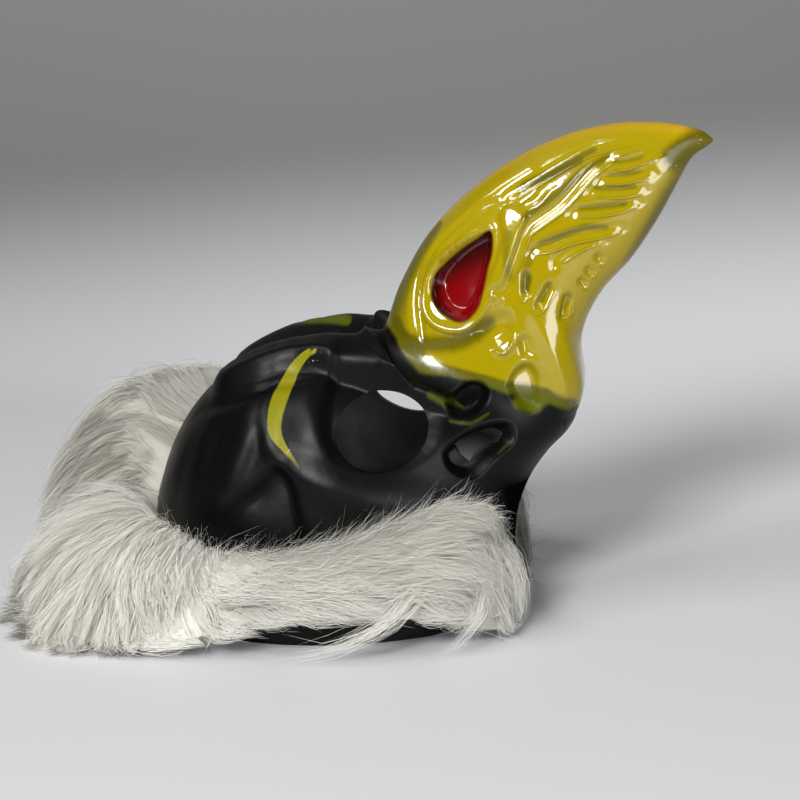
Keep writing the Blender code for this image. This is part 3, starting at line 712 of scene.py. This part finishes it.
# The unlacquered hollow of each temple: its middle line and its half width
HOLLOW = ((-54, 52, 14), (-36, 42, 24), (-16, 44, 20))
CULMEN_REACH = 12.0
COLOURS = {
    "black": (0.0016, 0.0017, 0.0018),
    # The inside's greys are a painted sheen, standing in for the light on its black plastic
    "inner": (0.30, 0.305, 0.31),
    "inner_light": (0.36, 0.365, 0.37),
    "yellow": (0.285, 0.218, 0.001),
    "amber": (0.46, 0.28, 0.002),
    # olive is also the colour of the painted shade in the beak's troughs, pits and groove
    "olive": (0.050, 0.050, 0.0005),
    "moss": (0.10, 0.115, 0.001),
    "lime": (0.19, 0.18, 0.001),
    # The teardrop's red in two copies: the lit one, and a darker one that is painted shade
    "red": (0.16, 0.0006, 0.002),
    "shaded_red": (0.03, 0.001, 0.001),
    "scuff": (0.55, 0.56, 0.50),
}


def spray_field(flat, line):
    """How much of a soft line's colour reaches each point: 1 in its middle, 0 at its radius."""
    signed, rows = along_line(flat, smooth_line(line, 2))
    return bump(np.abs(signed) / rows[:, 2])


def paint_fields(points):
    """Each colour's strength or distance at points of the shell (table millimetres), painted shade and
    light included.
    """
    flat = points[:, [0, 2]]
    near = points[:, 1] < 0
    one = np.ones((len(TEARDROP), 1))
    stripe, stripe_rows = along_line(flat, smooth_line(STRIPE, 4))
    olive = np.zeros(len(points))
    for strength, line in OLIVE_SPRAY_AND_SHADE.values():
        olive = 1 - (1 - olive) * (1 - strength * spray_field(flat, line))
    olive = 1 - (1 - olive) * (1 - np.where(near, 0, spray_field(flat, FAR_BROW_SPRAY)))
    teardrop = inside_share(flat, smooth_line(np.hstack([TEARDROP, one]), 4, closed=True))
    # Painted light and shade in the teardrop: lit towards its low right, shaded towards its top and left,
    # under its steep upper wall
    low_in_drop = smoothstep((163 - points[:, 2] + (points[:, 0] - 46) * 0.5) / 16)
    deep_in_drop = smoothstep(teardrop / 3.4 + (points[:, 0] - 45) / 13)
    scuffs = np.zeros(len(points))
    for line in SCUFFS.values():
        scuffs = np.maximum(scuffs, spray_field(flat, line))
    return {
        "beak": along_line(flat, smooth_line(YELLOW_EDGE, 3))[0],
        "culmen": bump(points[:, 1] / CULMEN_REACH),
        "teardrop": teardrop,
        "drop_lighting": low_in_drop * deep_in_drop,
        "stripe": np.where(
            near | (points[:, 2] < FAR_STRIPE_TOP), 1 - np.abs(stripe) / stripe_rows[:, 2], -9.0
        ),
        "dull": np.maximum(
            smoothstep((points[:, 0] - 58) / 14) * smoothstep((76 - points[:, 2]) / 14),
            0.8 * spray_field(flat, HOLLOW),
        ),
        "stripe_fade": 0.35 + 0.65 * smoothstep((points[:, 2] - 78) / 9),
        "olive": olive,
        "scuffs": scuffs,
    }


def write_fields(mesh, fields):
    """Stores one number a point for each field, for the material to read."""
    for name, values in fields.items():
        layer = mesh.attributes.new(name, "FLOAT", "POINT")
        layer.data.foreach_set("value", np.asarray(values, np.float32))


class Graph:
    """Short calls for building the nodes of one material or world."""

    def __init__(self, owner):
        self.owner = owner
        owner.use_nodes = True
        self.tree = owner.node_tree

    def finish(self, shader="Principled BSDF", **inputs):
        """Sets or links the shader's inputs, whose names have underscores here, and gives the owner."""
        for name, value in inputs.items():
            self.feed(self.tree.nodes[shader].inputs[name.replace("_", " ")], value)
        return self.owner

    def node(self, kind, inputs=(), **settings):
        """A node with some of its inputs set or linked, and its settings."""
        item = self.tree.nodes.new(kind)
        for name, value in settings.items():
            setattr(item, name, value)
        for key, value in dict(inputs).items():
            self.feed(item.inputs[key], value)
        return item

    def feed(self, socket, value):
        """Links a socket to another's output, or sets its value."""
        if isinstance(value, bpy.types.NodeSocket):
            self.tree.links.new(value, socket)
        else:
            socket.default_value = value

    def maths(self, operation, a, b):
        """The result of a sum on two numbers."""
        return self.node("ShaderNodeMath", {0: a, 1: b}, operation=operation).outputs[0]

    def times(self, a, b):
        return self.maths("MULTIPLY", a, b)

    def plus(self, value, other, factor):
        """value and factor times other."""
        return self.maths("ADD", value, self.times(other, factor))

    def field(self, name):
        """One of the mesh's own fields."""
        return self.node("ShaderNodeAttribute", attribute_name=name).outputs["Fac"]

    def noise(self, size, detail, roughness=0.55):
        """Noise between 0 and 1 whose lumps are about size metres across."""
        place = self.node("ShaderNodeTexCoord").outputs["Object"]
        return self.node(
            "ShaderNodeTexNoise",
            {"Vector": place, "Scale": 1 / size, "Detail": detail, "Roughness": roughness},
        ).outputs["Fac"]

    def step(self, value, low, high):
        """Goes smoothly from 0 to 1 as value goes from low to high."""
        return self.node(
            "ShaderNodeMapRange",
            {"Value": value, "From Min": low, "From Max": high},
            interpolation_type="SMOOTHSTEP",
        ).outputs[0]

    def mix(self, share, a, b):
        """Colour a where share is 0 and b where it is 1."""
        item = self.node("ShaderNodeMix", data_type="RGBA")
        self.feed(item.inputs[0], share)
        self.feed(item.inputs[6], (*a, 1.0) if isinstance(a, tuple) else a)
        self.feed(item.inputs[7], (*b, 1.0) if isinstance(b, tuple) else b)
        return item.outputs[2]

    def blend(self, share, a, b):
        """Number a where share is 0 and b where it is 1."""
        item = self.node("ShaderNodeMix", {0: share, 2: a, 3: b}, data_type="FLOAT")
        return item.outputs[0]

    def bump(self, height, strength, distance):
        """A normal that height tilts."""
        return self.node(
            "ShaderNodeBump", {"Height": height, "Strength": strength, "Distance": distance}
        ).outputs["Normal"]


def spattered(graph, share, grain, amount):
    """A spattered edge: a soft share that breaks into droplets half way."""
    return graph.step(graph.plus(share, graph.maths("SUBTRACT", grain, 0.5), amount), 0.12, 0.88)


def paint_material():
    """Satin black, lacquered yellow, olive overspray and painted shade in the beak's hollows, a red
    teardrop with painted light and shade, and lime stripes.
    """
    graph = Graph(bpy.data.materials.new("spray_paint"))
    droplets = graph.noise(0.0005, 2.0, 0.6)
    drift = graph.noise(0.012, 3.0)
    wander = graph.times(graph.maths("SUBTRACT", drift, 0.5), 5.0)

    beak = graph.step(graph.maths("ADD", graph.field("beak"), wander), -4.0, 4.5)
    beak = spattered(graph, beak, droplets, 0.75)
    culmen = graph.step(graph.field("culmen"), 0.1, 1.0)
    yellow = graph.mix(culmen, COLOURS["yellow"], COLOURS["amber"])
    # The olive field holds the overspray and the painted shade in the beak's troughs, pits and groove
    spray_and_shade = graph.field("olive")
    olive = spattered(graph, graph.plus(spray_and_shade, wander, 0.03), droplets, 0.3)
    on_yellow = graph.mix(graph.times(olive, 0.85), yellow, COLOURS["olive"])
    on_black = graph.mix(graph.times(olive, 0.75), COLOURS["black"], COLOURS["moss"])
    colour = graph.mix(beak, on_black, on_yellow)

    red_share = graph.step(graph.plus(graph.field("teardrop"), wander, 0.1), -0.9, 0.6)
    # Painted light and shade in the teardrop: its lit red low and to the right, the darker copy towards
    # the top and left
    lit_and_shaded_red = graph.mix(graph.field("drop_lighting"), COLOURS["shaded_red"], COLOURS["red"])
    colour = graph.mix(red_share, colour, lit_and_shaded_red)

    stripe = graph.plus(graph.times(graph.field("stripe"), 1.6), wander, 0.02)
    stripe = graph.times(graph.step(stripe, -0.05, 0.55), graph.field("stripe_fade"))
    colour = graph.mix(spattered(graph, stripe, droplets, 0.9), colour, COLOURS["lime"])

    scuffs = graph.step(graph.noise(0.0011, 1.0, 0.5), 0.70, 0.74)
    scuffed = graph.times(scuffs, graph.field("scuffs"))
    colour = graph.mix(scuffed, colour, COLOURS["scuff"])

    # Thick overspray, and the strong painted shade in the same field, dulls the lacquer, and the black is
    # satin or quite dull
    bright = graph.maths("SUBTRACT", 1.0, graph.times(graph.step(spray_and_shade, 0.6, 1.0), 0.7))
    gloss = graph.maths("MAXIMUM", graph.times(beak, bright), red_share)
    satin = graph.blend(graph.noise(0.03, 2.0), 0.33, 0.42)
    rough = graph.blend(gloss, satin, 0.09)
    dull = graph.blend(graph.field("dull"), 0.15, 0.0)
    ripple = graph.plus(graph.noise(0.007, 2.0), droplets, 0.02)
    return graph.finish(
        Base_Color=colour,
        Roughness=graph.plus(rough, droplets, 0.03),
        Specular_IOR_Level=graph.blend(gloss, dull, 0.6),
        Normal=graph.bump(ripple, 0.35, 0.0004),
    )


def bare_material():
    """The sheet's unpainted inside: matt, with a faint mottle, and grey as a painted sheen on its black
    plastic.
    """
    graph = Graph(bpy.data.materials.new("bare_plastic"))
    mottle = graph.noise(0.015, 4.0)
    return graph.finish(
        Base_Color=graph.mix(graph.step(mottle, 0.3, 0.7), COLOURS["inner"], COLOURS["inner_light"]),
        Roughness=graph.blend(mottle, 0.38, 0.5),
        Normal=graph.bump(mottle, 0.3, 0.0004),
    )


# Fur


# The trim goes round the rim from the middle of the forehead, where the angle is 0, to the lip,
# near the angle 180.  Angles are in degrees, and the near cheek's are positive.
FUR_AXIS_X = -11.0
FUR_END = 158.0
FLOOR_GAP = 0.4
WALL_GAP = 0.9
# How far out the under-fur reaches, as a share of the trim's outer form
BASE_DEPTH = 0.93
# The trim's outer form, as its solid has it.  top and low are the heights of its edges on the wall,
# crest is how far it stands above its top edge, deep is how far it stands out and lock how far its
# locks reach beyond that, in millimetres.
# Columns: degrees, top, low, crest, deep, lock
FOREHEAD_ROWS = (
    (-62, 56, 13, 18, 24, 12),
    (-45, 70, 7, 20, 40, 33),
    (-25, 74, 6, 19, 42, 32),
    (-6, 74, 6, 18, 42, 32),
    (8, 38, 6, 12, 42, 32),
    (25, 36, 6, 15, 42, 32),
    (45, 36, 7, 11, 40, 33),
    (62, 35, 13, 4, 24, 12),
)
CHEEK_ROWS = (
    (80, 37, 20, 3, 18, 4),
    (100, 42, 20, 3, 18, 4),
    (118, 50, 18, 3, 19, 5),
    (134, 57, 14, 3, 20, 6),
    (148, 53, 9, 2, 17, 6),
    (157, 38, 8, 1, 8, 2),
)
FAR_CHEEK_ROWS = tuple((-degrees, *sizes) for degrees, *sizes in reversed(CHEEK_ROWS))
FUR_ROWS = FAR_CHEEK_ROWS + FOREHEAD_ROWS + CHEEK_ROWS
# How the pile lies at places round the rim: how many degrees its hairs run towards the lip, what
# share of the trim's section they fall through, and at which share they stop
# Columns: degrees, comb, fall, edge
PILE_ROWS = (
    (0, 0, 0.42, 0.93),
    (25, -2, 0.42, 0.93),
    (45, 3, 0.38, 0.93),
    (62, 9, 0.26, 0.86),
    (80, 14, 0.10, 0.79),
    (108, 15, 0.06, 0.79),
    (122, 14, 0.08, 0.80),
    (136, 11, 0.16, 0.84),
    (148, 6, 0.30, 0.90),
    (158, 2, 0.40, 0.93),
)
# Each piece of hair: its first and last angle, how many locks and how many hairs a lock, a hair's
# stretches, half its width and its share of stray hairs
# Columns: first, last, locks, hairs, stretches, radius, stray
HAIR_PIECES = {
    "fur_near_cheek": (50, 158, 420, 64, 4, 0.11, 0.22),
    "fur_near_crown": (2, 56, 350, 78, 4, 0.12, 0.22),
    "fur_far_crown": (-56, 2, 350, 78, 4, 0.12, 0.24),
    "fur_far_cheek": (-158, -50, 400, 58, 4, 0.13, 0.2),
}
# Long locks that hang or curl clear of the rest: which piece they belong to, their spread, how
# many hairs they have and the points that they follow
LONG_LOCKS = {
    "hang_1": ("fur_near_cheek", 1.2, 50, ((-55, -74, 28), (-50, -88, 22), (-49, -93, 10), (-53, -96, 1))),
    "hang_2": ("fur_near_cheek", 2.6, 90, (
        (40, -64, 36), (36, -82, 27), (26, -92, 17), (10, -98, 9), (-8, -100, 4), (-24, -101, 1),
    )),
    "hang_3": ("fur_near_cheek", 2.2, 80, (
        (60, -50, 38), (65, -62, 26), (62, -74, 13), (54, -81, 5), (44, -85, 1),
    )),
    "end_curl": ("fur_near_cheek", 3.2, 110, (
        (60, -42, 46), (73, -48, 38), (80, -52, 24), (80, -55, 10), (75, -56, 2),
    )),
}
# How far a lock's hairs spread round its guide at the root, in millimetres
LOCK_SPREAD = 1.9
# How far up a hair the under-fur's colour is, and how light it is, as shares: low, so the under-fur takes
# the roots' painted shade
BASE_ALONG = 0.15
BASE_TONE = 0.5
# The hair stays inside this distance of the middle, backwards and sideways, in millimetres
REACH_BACK = 165.5
REACH_SIDE = 113.0
REACH_SOFT = 14.0
# The middle of the trim's thickness: how far it is from the fur's axis, and its height
ROLL_RADIUS = 84.0
ROLL_HEIGHT = 20.0
# How much further up the hair's shading faces than the trim's form does
HAIR_LIGHT_RISE = 44.0
FUR_COLOURS = {
    # root is darker than the shaft: painted shade deep in the pile
    "root": (0.70, 0.68, 0.61),
    "light": (0.83, 0.82, 0.76),
    "warm": (0.78, 0.755, 0.68),
}


def round_axis(points):
    """Where points are round the fur's axis: east and south of it, their angle and their radius."""
    east, south = points[..., 0] - FUR_AXIS_X, -points[..., 1]
    return east, south, np.degrees(np.arctan2(south, -east)), np.hypot(east, south)


def wall_table(outer):
    """The shell's greatest radius from the fur's axis, by 2 degrees and by millimetre of height."""
    points = outer.reshape(-1, 3)
    _, _, turn, radius = round_axis(points)
    table = np.zeros((180, 130))
    low = points[:, 2] < 129
    cell = (np.round(turn[low] / 2).astype(int) % 180, np.round(points[low, 2]).astype(int))
    np.maximum.at(table, cell, radius[low])
    for _ in range(4):
        near = np.stack([np.roll(table, 1, 0), np.roll(table, -1, 0),
                         np.pad(table, ((0, 0), (1, 0)))[:, :-1], np.pad(table, ((0, 0), (0, 1)))[:, 1:]])
        table = np.where(table > 0, table, near.max(axis=0))
    return table


def wall_radius(table, degrees, height):
    """Reads the wall table between its cells."""
    turn = np.asarray(degrees) / 2 % 180
    up = np.clip(height, 0, table.shape[1] - 2)
    i, j = np.floor(turn).astype(int), np.floor(up).astype(int)
    u, v = turn - i, up - j
    rows = (i % 180, (i + 1) % 180)
    return (
        table[rows[0], j] * (1 - u) * (1 - v) + table[rows[1], j] * u * (1 - v)
        + table[rows[0], j + 1] * (1 - u) * v + table[rows[1], j + 1] * u * v
    )


def clear_of_things(table, points):
    """Moves points out of the shell's wall, off the floor and inside the trim's reach."""
    east, south, turn, radius = round_axis(points)
    least = wall_radius(table, turn, points[..., 2]) + WALL_GAP * 0.6
    grow = np.maximum(least / np.maximum(radius, 1.0), 1.0)
    x = FUR_AXIS_X + east * grow
    y = -south * grow
    x = -held_in(-x, REACH_BACK - ORIGIN_X)
    y = np.sign(y) * held_in(np.abs(y), REACH_SIDE)
    return np.stack([x, y, np.maximum(points[..., 2], FLOOR_GAP)], axis=-1)


def held_in(distance, limit):
    """Eases distances that near a limit, so that they never pass it."""
    start = limit - REACH_SOFT
    eased = start + REACH_SOFT * np.tanh((distance - start) / REACH_SOFT)
    return np.where(distance > start, eased, distance)


def between(rows, degrees):
    """Each column's value of a table of rows at the given angles, without the first."""
    rows = np.asarray(rows, float)
    return [np.interp(degrees, rows[:, 0], rows[:, k]) for k in range(1, rows.shape[1])]


def on_trim(table, degrees, share, depth):
    """Points of the trim.  share goes from its top inner edge, over its crest, to its low outer
    edge, and depth from the wall at 0 to the trim's outer form at 1."""
    top, low, crest, deep, lock = between(FUR_ROWS, degrees)
    tall = top + crest - low
    foot = np.maximum(FLOOR_GAP, low - 7)
    out = np.stack([
        0 * deep + 0.5, deep * 0.22, deep * 0.5, deep * 0.82 + lock * 0.15, deep * 0.9 + lock * 0.4,
        deep * 0.92 + lock * 0.5, deep + lock * 0.6, deep * 0.8 + lock * 0.5,
    ], axis=-1)
    up = np.stack([
        top, top + crest * 0.85, top + crest, low + tall * 0.8, low + tall * 0.5,
        low + tall * 0.3, low * 0.5 + 2, foot,
    ], axis=-1)
    last = out.shape[-1] - 1
    place = np.clip(share, 0, 1) * last
    k = np.minimum(place.astype(int), last - 1)
    u = place - k

    def read(columns):
        row = np.arange(len(place))
        before, a, b, after = (columns[row, np.clip(k + step, 0, last)] for step in (-1, 0, 1, 2))
        bend = 2 * before - 5 * a + 4 * b - after + u * (3 * (a - b) + after - before)
        return a + 0.5 * u * (b - before + u * bend)

    height = read(up)
    low_wall = wall_radius(table, degrees, low) * (share > 0.07)
    wall = np.maximum(wall_radius(table, degrees, height), low_wall)
    radius = wall + WALL_GAP + np.maximum(read(out), 0) * depth
    turn = np.radians(degrees)
    return np.stack([FUR_AXIS_X - radius * np.cos(turn), -radius * np.sin(turn), height], axis=-1)


def grow_guides(table, degrees, share, draw, steps=8):
    """One guide hair for each angle and share of the trim's section."""
    comb, fall, edge = between(PILE_ROWS, np.abs(degrees))
    count = len(degrees)
    swirl = 3.0 * np.sin(degrees / 7.0 + 5 * share) + 2.0 * np.sin(degrees / 3.1 - 4 * share)
    comb = (comb * draw.uniform(0.7, 1.25, count) + swirl) * np.sign(degrees) + draw.normal(0, 2.0, count)
    fall = fall * draw.uniform(0.6, 1.3, count) + draw.normal(0, 0.06, count)
    share = share * edge
    first = BASE_DEPTH - 0.04 + trim_lumps(degrees, share)
    last = 1.02 + trim_lumps(degrees, share) + draw.uniform(-0.05, 0.10, count)
    points = []
    for t in np.linspace(0, 1, steps + 1):
        place = share + fall * t
        over = np.maximum(place - edge, 0)
        depth = first + (last - first) * t ** 0.7 + over * 0.8
        points.append(on_trim(table, degrees + comb * t, np.clip(place, 0.0, edge), depth))
    return np.stack(points, axis=1)


def trim_lumps(degrees, share):
    """How far the trim's tufts swell out of its form or sink into it, as a share of its depth."""
    return (
        0.05 * np.sin(degrees / 4.3 + 7 * share) + 0.04 * np.sin(degrees / 2.1 + 11 * share)
        + 0.03 * np.sin(degrees / 9.0 - 13 * share)
    )


def along_guides(guides, share):
    """Points of each hair's guide at its own shares of the guide's length."""
    last = guides.shape[1] - 1
    place = np.clip(share * last, 0, last)
    k = np.minimum(np.floor(place).astype(int), last - 1)
    u = (place - k)[..., None]
    row = np.arange(len(guides))[:, None]
    return guides[row, k] * (1 - u) + guides[row, k + 1] * u


def lock_hairs(table, guides, spread, count, stretches, stray, draw):
    """The hairs of locks: rows of points that start round each guide's root and draw together."""
    owner = np.repeat(np.arange(len(guides)), count)
    total = len(owner)
    share = np.linspace(0, 1, stretches + 1)[None, :] * draw.uniform(0.55, 1.0, (total, 1))
    lines = along_guides(guides[owner], share)
    away = draw.normal(0, 1, (total, 3)) * np.asarray(spread)[owner, None]
    loose = draw.random(total) < stray
    pinch = np.where(loose, -0.5, draw.uniform(0.35, 0.85, total))
    lines += away[:, None, :] * (1 - pinch[:, None, None] * smoothstep(share)[..., None])
    wave = np.sin(share * draw.uniform(2, 6, (total, 1)) + draw.uniform(0, 6.28, (total, 1)))
    side = draw.normal(0, 1, (total, 3))
    reach = np.where(loose, 3.6, 0.9)
    lines += (wave * share * reach[:, None])[..., None] * side[:, None, :]
    lifted = np.where(loose, draw.uniform(0, 14, total), 0.0)
    lines[..., 2] += lifted[:, None] * share**2
    return clear_of_things(table, lines), owner, loose


def outwards(points, rise=0.0):
    """The way out of the middle of the trim's thickness at points, leaned up by rise."""
    east, south, _, radius = round_axis(points)
    radius = np.maximum(radius, 1.0)
    out = radius - ROLL_RADIUS
    up = points[..., 2] - ROLL_HEIGHT + rise
    return np.stack([east / radius * out, -south / radius * out, up], axis=-1)


def soften_shading(item, points):
    """Lets a mesh shade as one soft form: its normals follow the trim's roll and lean to the sky."""
    soft = unit(outwards(points, HAIR_LIGHT_RISE))
    item.data.normals_split_custom_set_from_vertices(soft.tolist())


def hair_mesh(name, lines, radius, roll, tone, material):
    """Narrow tapered ribbons that end in a point, as one object."""
    total, rings = lines.shape[0], lines.shape[1] - 1
    ahead = unit(np.gradient(lines, axis=1)[:, :rings])
    side = unit(np.cross(ahead, outwards(lines[:, :rings])))
    other = np.cross(side, ahead)
    side = np.cos(roll)[:, None, None] * side + np.sin(roll)[:, None, None] * other
    taper = radius[:, None] * (1 - np.arange(rings) / (rings + 0.6)) ** 0.6
    half = taper[..., None] * side
    edges = np.stack([lines[:, :rings] + half, lines[:, :rings] - half], axis=2)
    points = np.concatenate([edges.reshape(total, rings * 2, 3), lines[:, rings:]], axis=1)
    each = rings * 2 + 1
    base = (np.arange(total) * each)[:, None, None]
    quads = np.array([(2 * k, 2 * k + 2, 2 * k + 3, 2 * k + 1) for k in range(rings - 1)])
    quads = (quads[None] + base).reshape(-1, 4)
    tips = (np.array([(each - 3, each - 1, each - 2)])[None] + base).reshape(-1, 3)
    item = mesh_object(name, placed(points.reshape(-1, 3)), [quads, tips], [material])
    soften_shading(item, points.reshape(-1, 3))
    along = np.append(np.repeat(np.arange(rings) / rings, 2), 1.0)
    write_fields(item.data, {"along": np.tile(along, total), "tone": np.repeat(tone, each)})
    return item


def make_hair(name, table, material):
    """One stretch of the trim's hair, with its long locks."""
    first, last, locks, hairs, stretches, radius, stray = HAIR_PIECES[name]
    draw = np.random.default_rng(list(HAIR_PIECES).index(name) + 11)
    degrees = first + (last - first) * (np.arange(locks) + draw.uniform(0, 1, locks)) / locks
    share = (np.arange(locks) * 0.618 + draw.uniform(0, 0.15, locks)) % 1.0
    guides = grow_guides(table, degrees, share, draw)
    spreads = np.full(locks, LOCK_SPREAD)
    lines, owner, loose = lock_hairs(table, guides, spreads, hairs, stretches, stray, draw)
    tones = draw.uniform(0, 1, locks)[owner]
    parts, tone_parts, loose_parts = [lines], [tones], [loose]
    for piece, spread, count, route in LONG_LOCKS.values():
        if piece == name:
            guide = smooth_line(route, 4)[None]
            lock, _, strays = lock_hairs(table, guide, [spread], count, stretches, stray, draw)
            parts.append(lock)
            tone_parts.append(draw.uniform(0.5, 1.0, count))
            loose_parts.append(strays)
    lines, tones, loose = (np.concatenate(pieces) for pieces in (parts, tone_parts, loose_parts))
    tones = np.clip(tones * 0.6 + draw.uniform(0, 0.4, len(tones)), 0, 1)
    radii = radius * draw.uniform(0.7, 1.15, len(lines))
    roll = np.clip(draw.normal(0, 1, len(lines)) * np.where(loose, 0.8, 0.15), -1.3, 1.3)
    return hair_mesh(name, lines, radii, roll, tones, material)


def make_fur_base(table, material):
    """The dense under-fur that the hairs stand in: one closed band round the rim, coloured near the roots'
    painted shade.
    """
    places = np.arange(-FUR_END, FUR_END + 0.01, 1.0)
    shares = np.linspace(0, 1, 26)
    degrees = np.repeat(places, len(shares))
    share = np.tile(shares, len(places)) * between(PILE_ROWS, np.abs(degrees))[2]
    lump = trim_lumps(degrees, share)
    skin = on_trim(table, degrees, share, BASE_DEPTH + lump).reshape(len(places), len(shares), 3)
    foot = on_trim(table, places, np.ones(len(places)), 0.0)[:, None]
    grid = clear_of_things(table, np.concatenate([skin, foot], axis=1))
    count, around = grid.shape[:2]
    faces = [quads_of(count, around, flip=True)]
    caps = [np.arange(around)[::-1][None], (np.arange(around) + (count - 1) * around)[None]]
    item = mesh_object("fur_base", placed(grid.reshape(-1, 3)), faces + caps, [material])
    soften_shading(item, grid.reshape(-1, 3))
    total = count * around
    write_fields(item.data, {"along": np.full(total, BASE_ALONG), "tone": np.full(total, BASE_TONE)})
    return item


def fur_material():
    """Cream hair, warmer at its roots and darker there, a painted shade deep in the pile."""
    graph = Graph(bpy.data.materials.new("cream_hair"))
    streak = graph.noise(0.004, 2.0)
    tone = graph.plus(graph.times(graph.field("tone"), 0.7), streak, 0.3)
    shaft = graph.mix(graph.step(tone, 0.15, 0.7), FUR_COLOURS["warm"], FUR_COLOURS["light"])
    # The roots' darker colour is painted shade deep in the pile
    grown = graph.step(graph.field("along"), 0.0, 0.45)
    return graph.finish(
        Base_Color=graph.mix(grown, FUR_COLOURS["root"], shaft),
        Roughness=0.62,
        Specular_IOR_Level=0.2,
        Sheen_Weight=0.3,
    )


# Stage


# Where the backdrop starts to curve up behind the object, the curve's radius, and half the stage's
# width, in metres
SWEEP_START = 0.36
SWEEP = 0.5
STAGE_HALF_WIDTH = 3.5
# The camera's turn and rise in degrees, its distance in metres, what it looks at in table
# millimetres, and its lens
CAMERA_TURN = 8.0
CAMERA_RISE = 12.5
CAMERA_DISTANCE = 0.90
CAMERA_TARGET = (19.0, 0.0, 94.2)
CAMERA_LENS = 88.04
# Each light: its place, its two sizes, its power and its colour
LIGHTS = {
    "key": ((-0.36, -1.55, 1.02), (0.46, 0.46), 33.5, (1.0, 0.995, 0.98)),
    "window_left": ((-0.85, -0.85, 1.60), (1.0, 0.24), 12.0, (1.0, 0.99, 0.97)),
    "window_right": ((0.85, -1.0, 0.28), (0.5, 0.46), 6.8, (0.98, 0.98, 1.0)),
    "ceiling": ((0.0, 0.3, 2.2), (2.8, 2.2), 3.4, (1.0, 1.0, 1.0)),
}
# The room's colours below and above
WORLD_LOW = (0.02, 0.02, 0.021)
WORLD_HIGH = (0.052, 0.052, 0.055)
# The floor's colours in front and behind, paler behind as painted light, and the backdrop's grey, darker
# as painted shade
BOARD_NEAR = (0.615, 0.628, 0.645)
BOARD_FAR = (0.83, 0.85, 0.87)
BACKDROP = (0.205, 0.205, 0.203)


def camera_and_light():
    """The photo's view, and a soft light from the front left with a weaker one on the right."""
    scene = bpy.context.scene
    turn, rise = math.radians(CAMERA_TURN), math.radians(CAMERA_RISE)
    back = Vector((math.sin(turn) * math.cos(rise), -math.cos(turn) * math.cos(rise), math.sin(rise)))
    target = Vector(placed(CAMERA_TARGET))
    data = bpy.data.cameras.new("camera")
    data.lens = CAMERA_LENS
    data.sensor_width = 36.0
    data.clip_start = 0.02
    camera = bpy.data.objects.new("camera", data)
    camera.location = target + back * CAMERA_DISTANCE
    camera.rotation_euler = (-back).to_track_quat("-Z", "Y").to_euler()
    scene.collection.objects.link(camera)
    scene.camera = camera
    for name, (place, size, power, colour) in LIGHTS.items():
        lamp = bpy.data.lights.new(name, "AREA")
        lamp.shape = "RECTANGLE"
        lamp.size, lamp.size_y = size
        lamp.energy = power
        lamp.color = colour
        item = bpy.data.objects.new(name, lamp)
        item.location = place
        item.rotation_euler = (target - Vector(place)).to_track_quat("-Z", "Y").to_euler()
        scene.collection.objects.link(item)
    light_the_room()


def light_the_room():
    """The studio round the stage: dark walls under a paler ceiling."""
    graph = Graph(bpy.data.worlds.new("studio"))
    place = graph.node("ShaderNodeTexCoord").outputs["Generated"]
    height = graph.node("ShaderNodeSeparateXYZ", {0: place}).outputs["Z"]
    up = graph.node("ShaderNodeMapRange", {"Value": height, "From Min": -0.1, "From Max": 0.8}).outputs[0]
    bpy.context.scene.world = graph.finish("Background", Color=graph.mix(up, WORLD_LOW, WORLD_HIGH))


def stage():
    """A pale floor that curves up into a grey backdrop."""
    profile = [(-1.2, 0.0), (SWEEP_START, 0.0)]
    profile += [
        (SWEEP_START + SWEEP * math.sin(t), SWEEP - SWEEP * math.cos(t))
        for t in np.linspace(0, math.pi / 2, 24)[1:]
    ]
    profile.append((SWEEP_START + SWEEP, 1.2))
    points = [(x, y, z) for y, z in profile for x in (-STAGE_HALF_WIDTH, STAGE_HALF_WIDTH)]
    faces = np.array([(2 * k, 2 * k + 1, 2 * k + 3, 2 * k + 2) for k in range(len(profile) - 1)])
    mesh_object("floor", points, [faces], [floor_material()])


def floor_material():
    """Pale matt board, paler towards the back of the floor, that darkens up the backdrop, starting higher
    to the right: painted light and shade.
    """
    graph = Graph(bpy.data.materials.new("pale_board"))
    place = graph.node("ShaderNodeSeparateXYZ", {0: graph.node("ShaderNodeTexCoord").outputs["Object"]})
    shade = graph.step(graph.plus(place.outputs["Z"], place.outputs["X"], -0.09), -0.02, 0.17)
    pale = graph.mix(graph.step(place.outputs["Y"], -0.3, 0.45), BOARD_NEAR, BOARD_FAR)
    return graph.finish(Base_Color=graph.mix(shade, pale, BACKDROP), Roughness=0.6)


def main():
    """Builds the looks round the frame."""
    bpy.context.scene.view_settings.view_transform = "Standard"
    outer = shell_surface(row_places(OUTER_ROWS), column_angles(OUTER_COLUMNS))
    paint = paint_material()
    for piece in (make_shell(outer, paint, bare_material()), make_beads(outer, paint)):
        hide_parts("mask_shell")
        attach(piece, "root")
    table = wall_table(outer)
    cream = fur_material()
    fur = [make_fur_base(table, cream)] + [make_hair(name, table, cream) for name in HAIR_PIECES]
    for piece in fur:
        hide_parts("fur_trim")
        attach(piece, "root")
    stage()
    camera_and_light()


main()
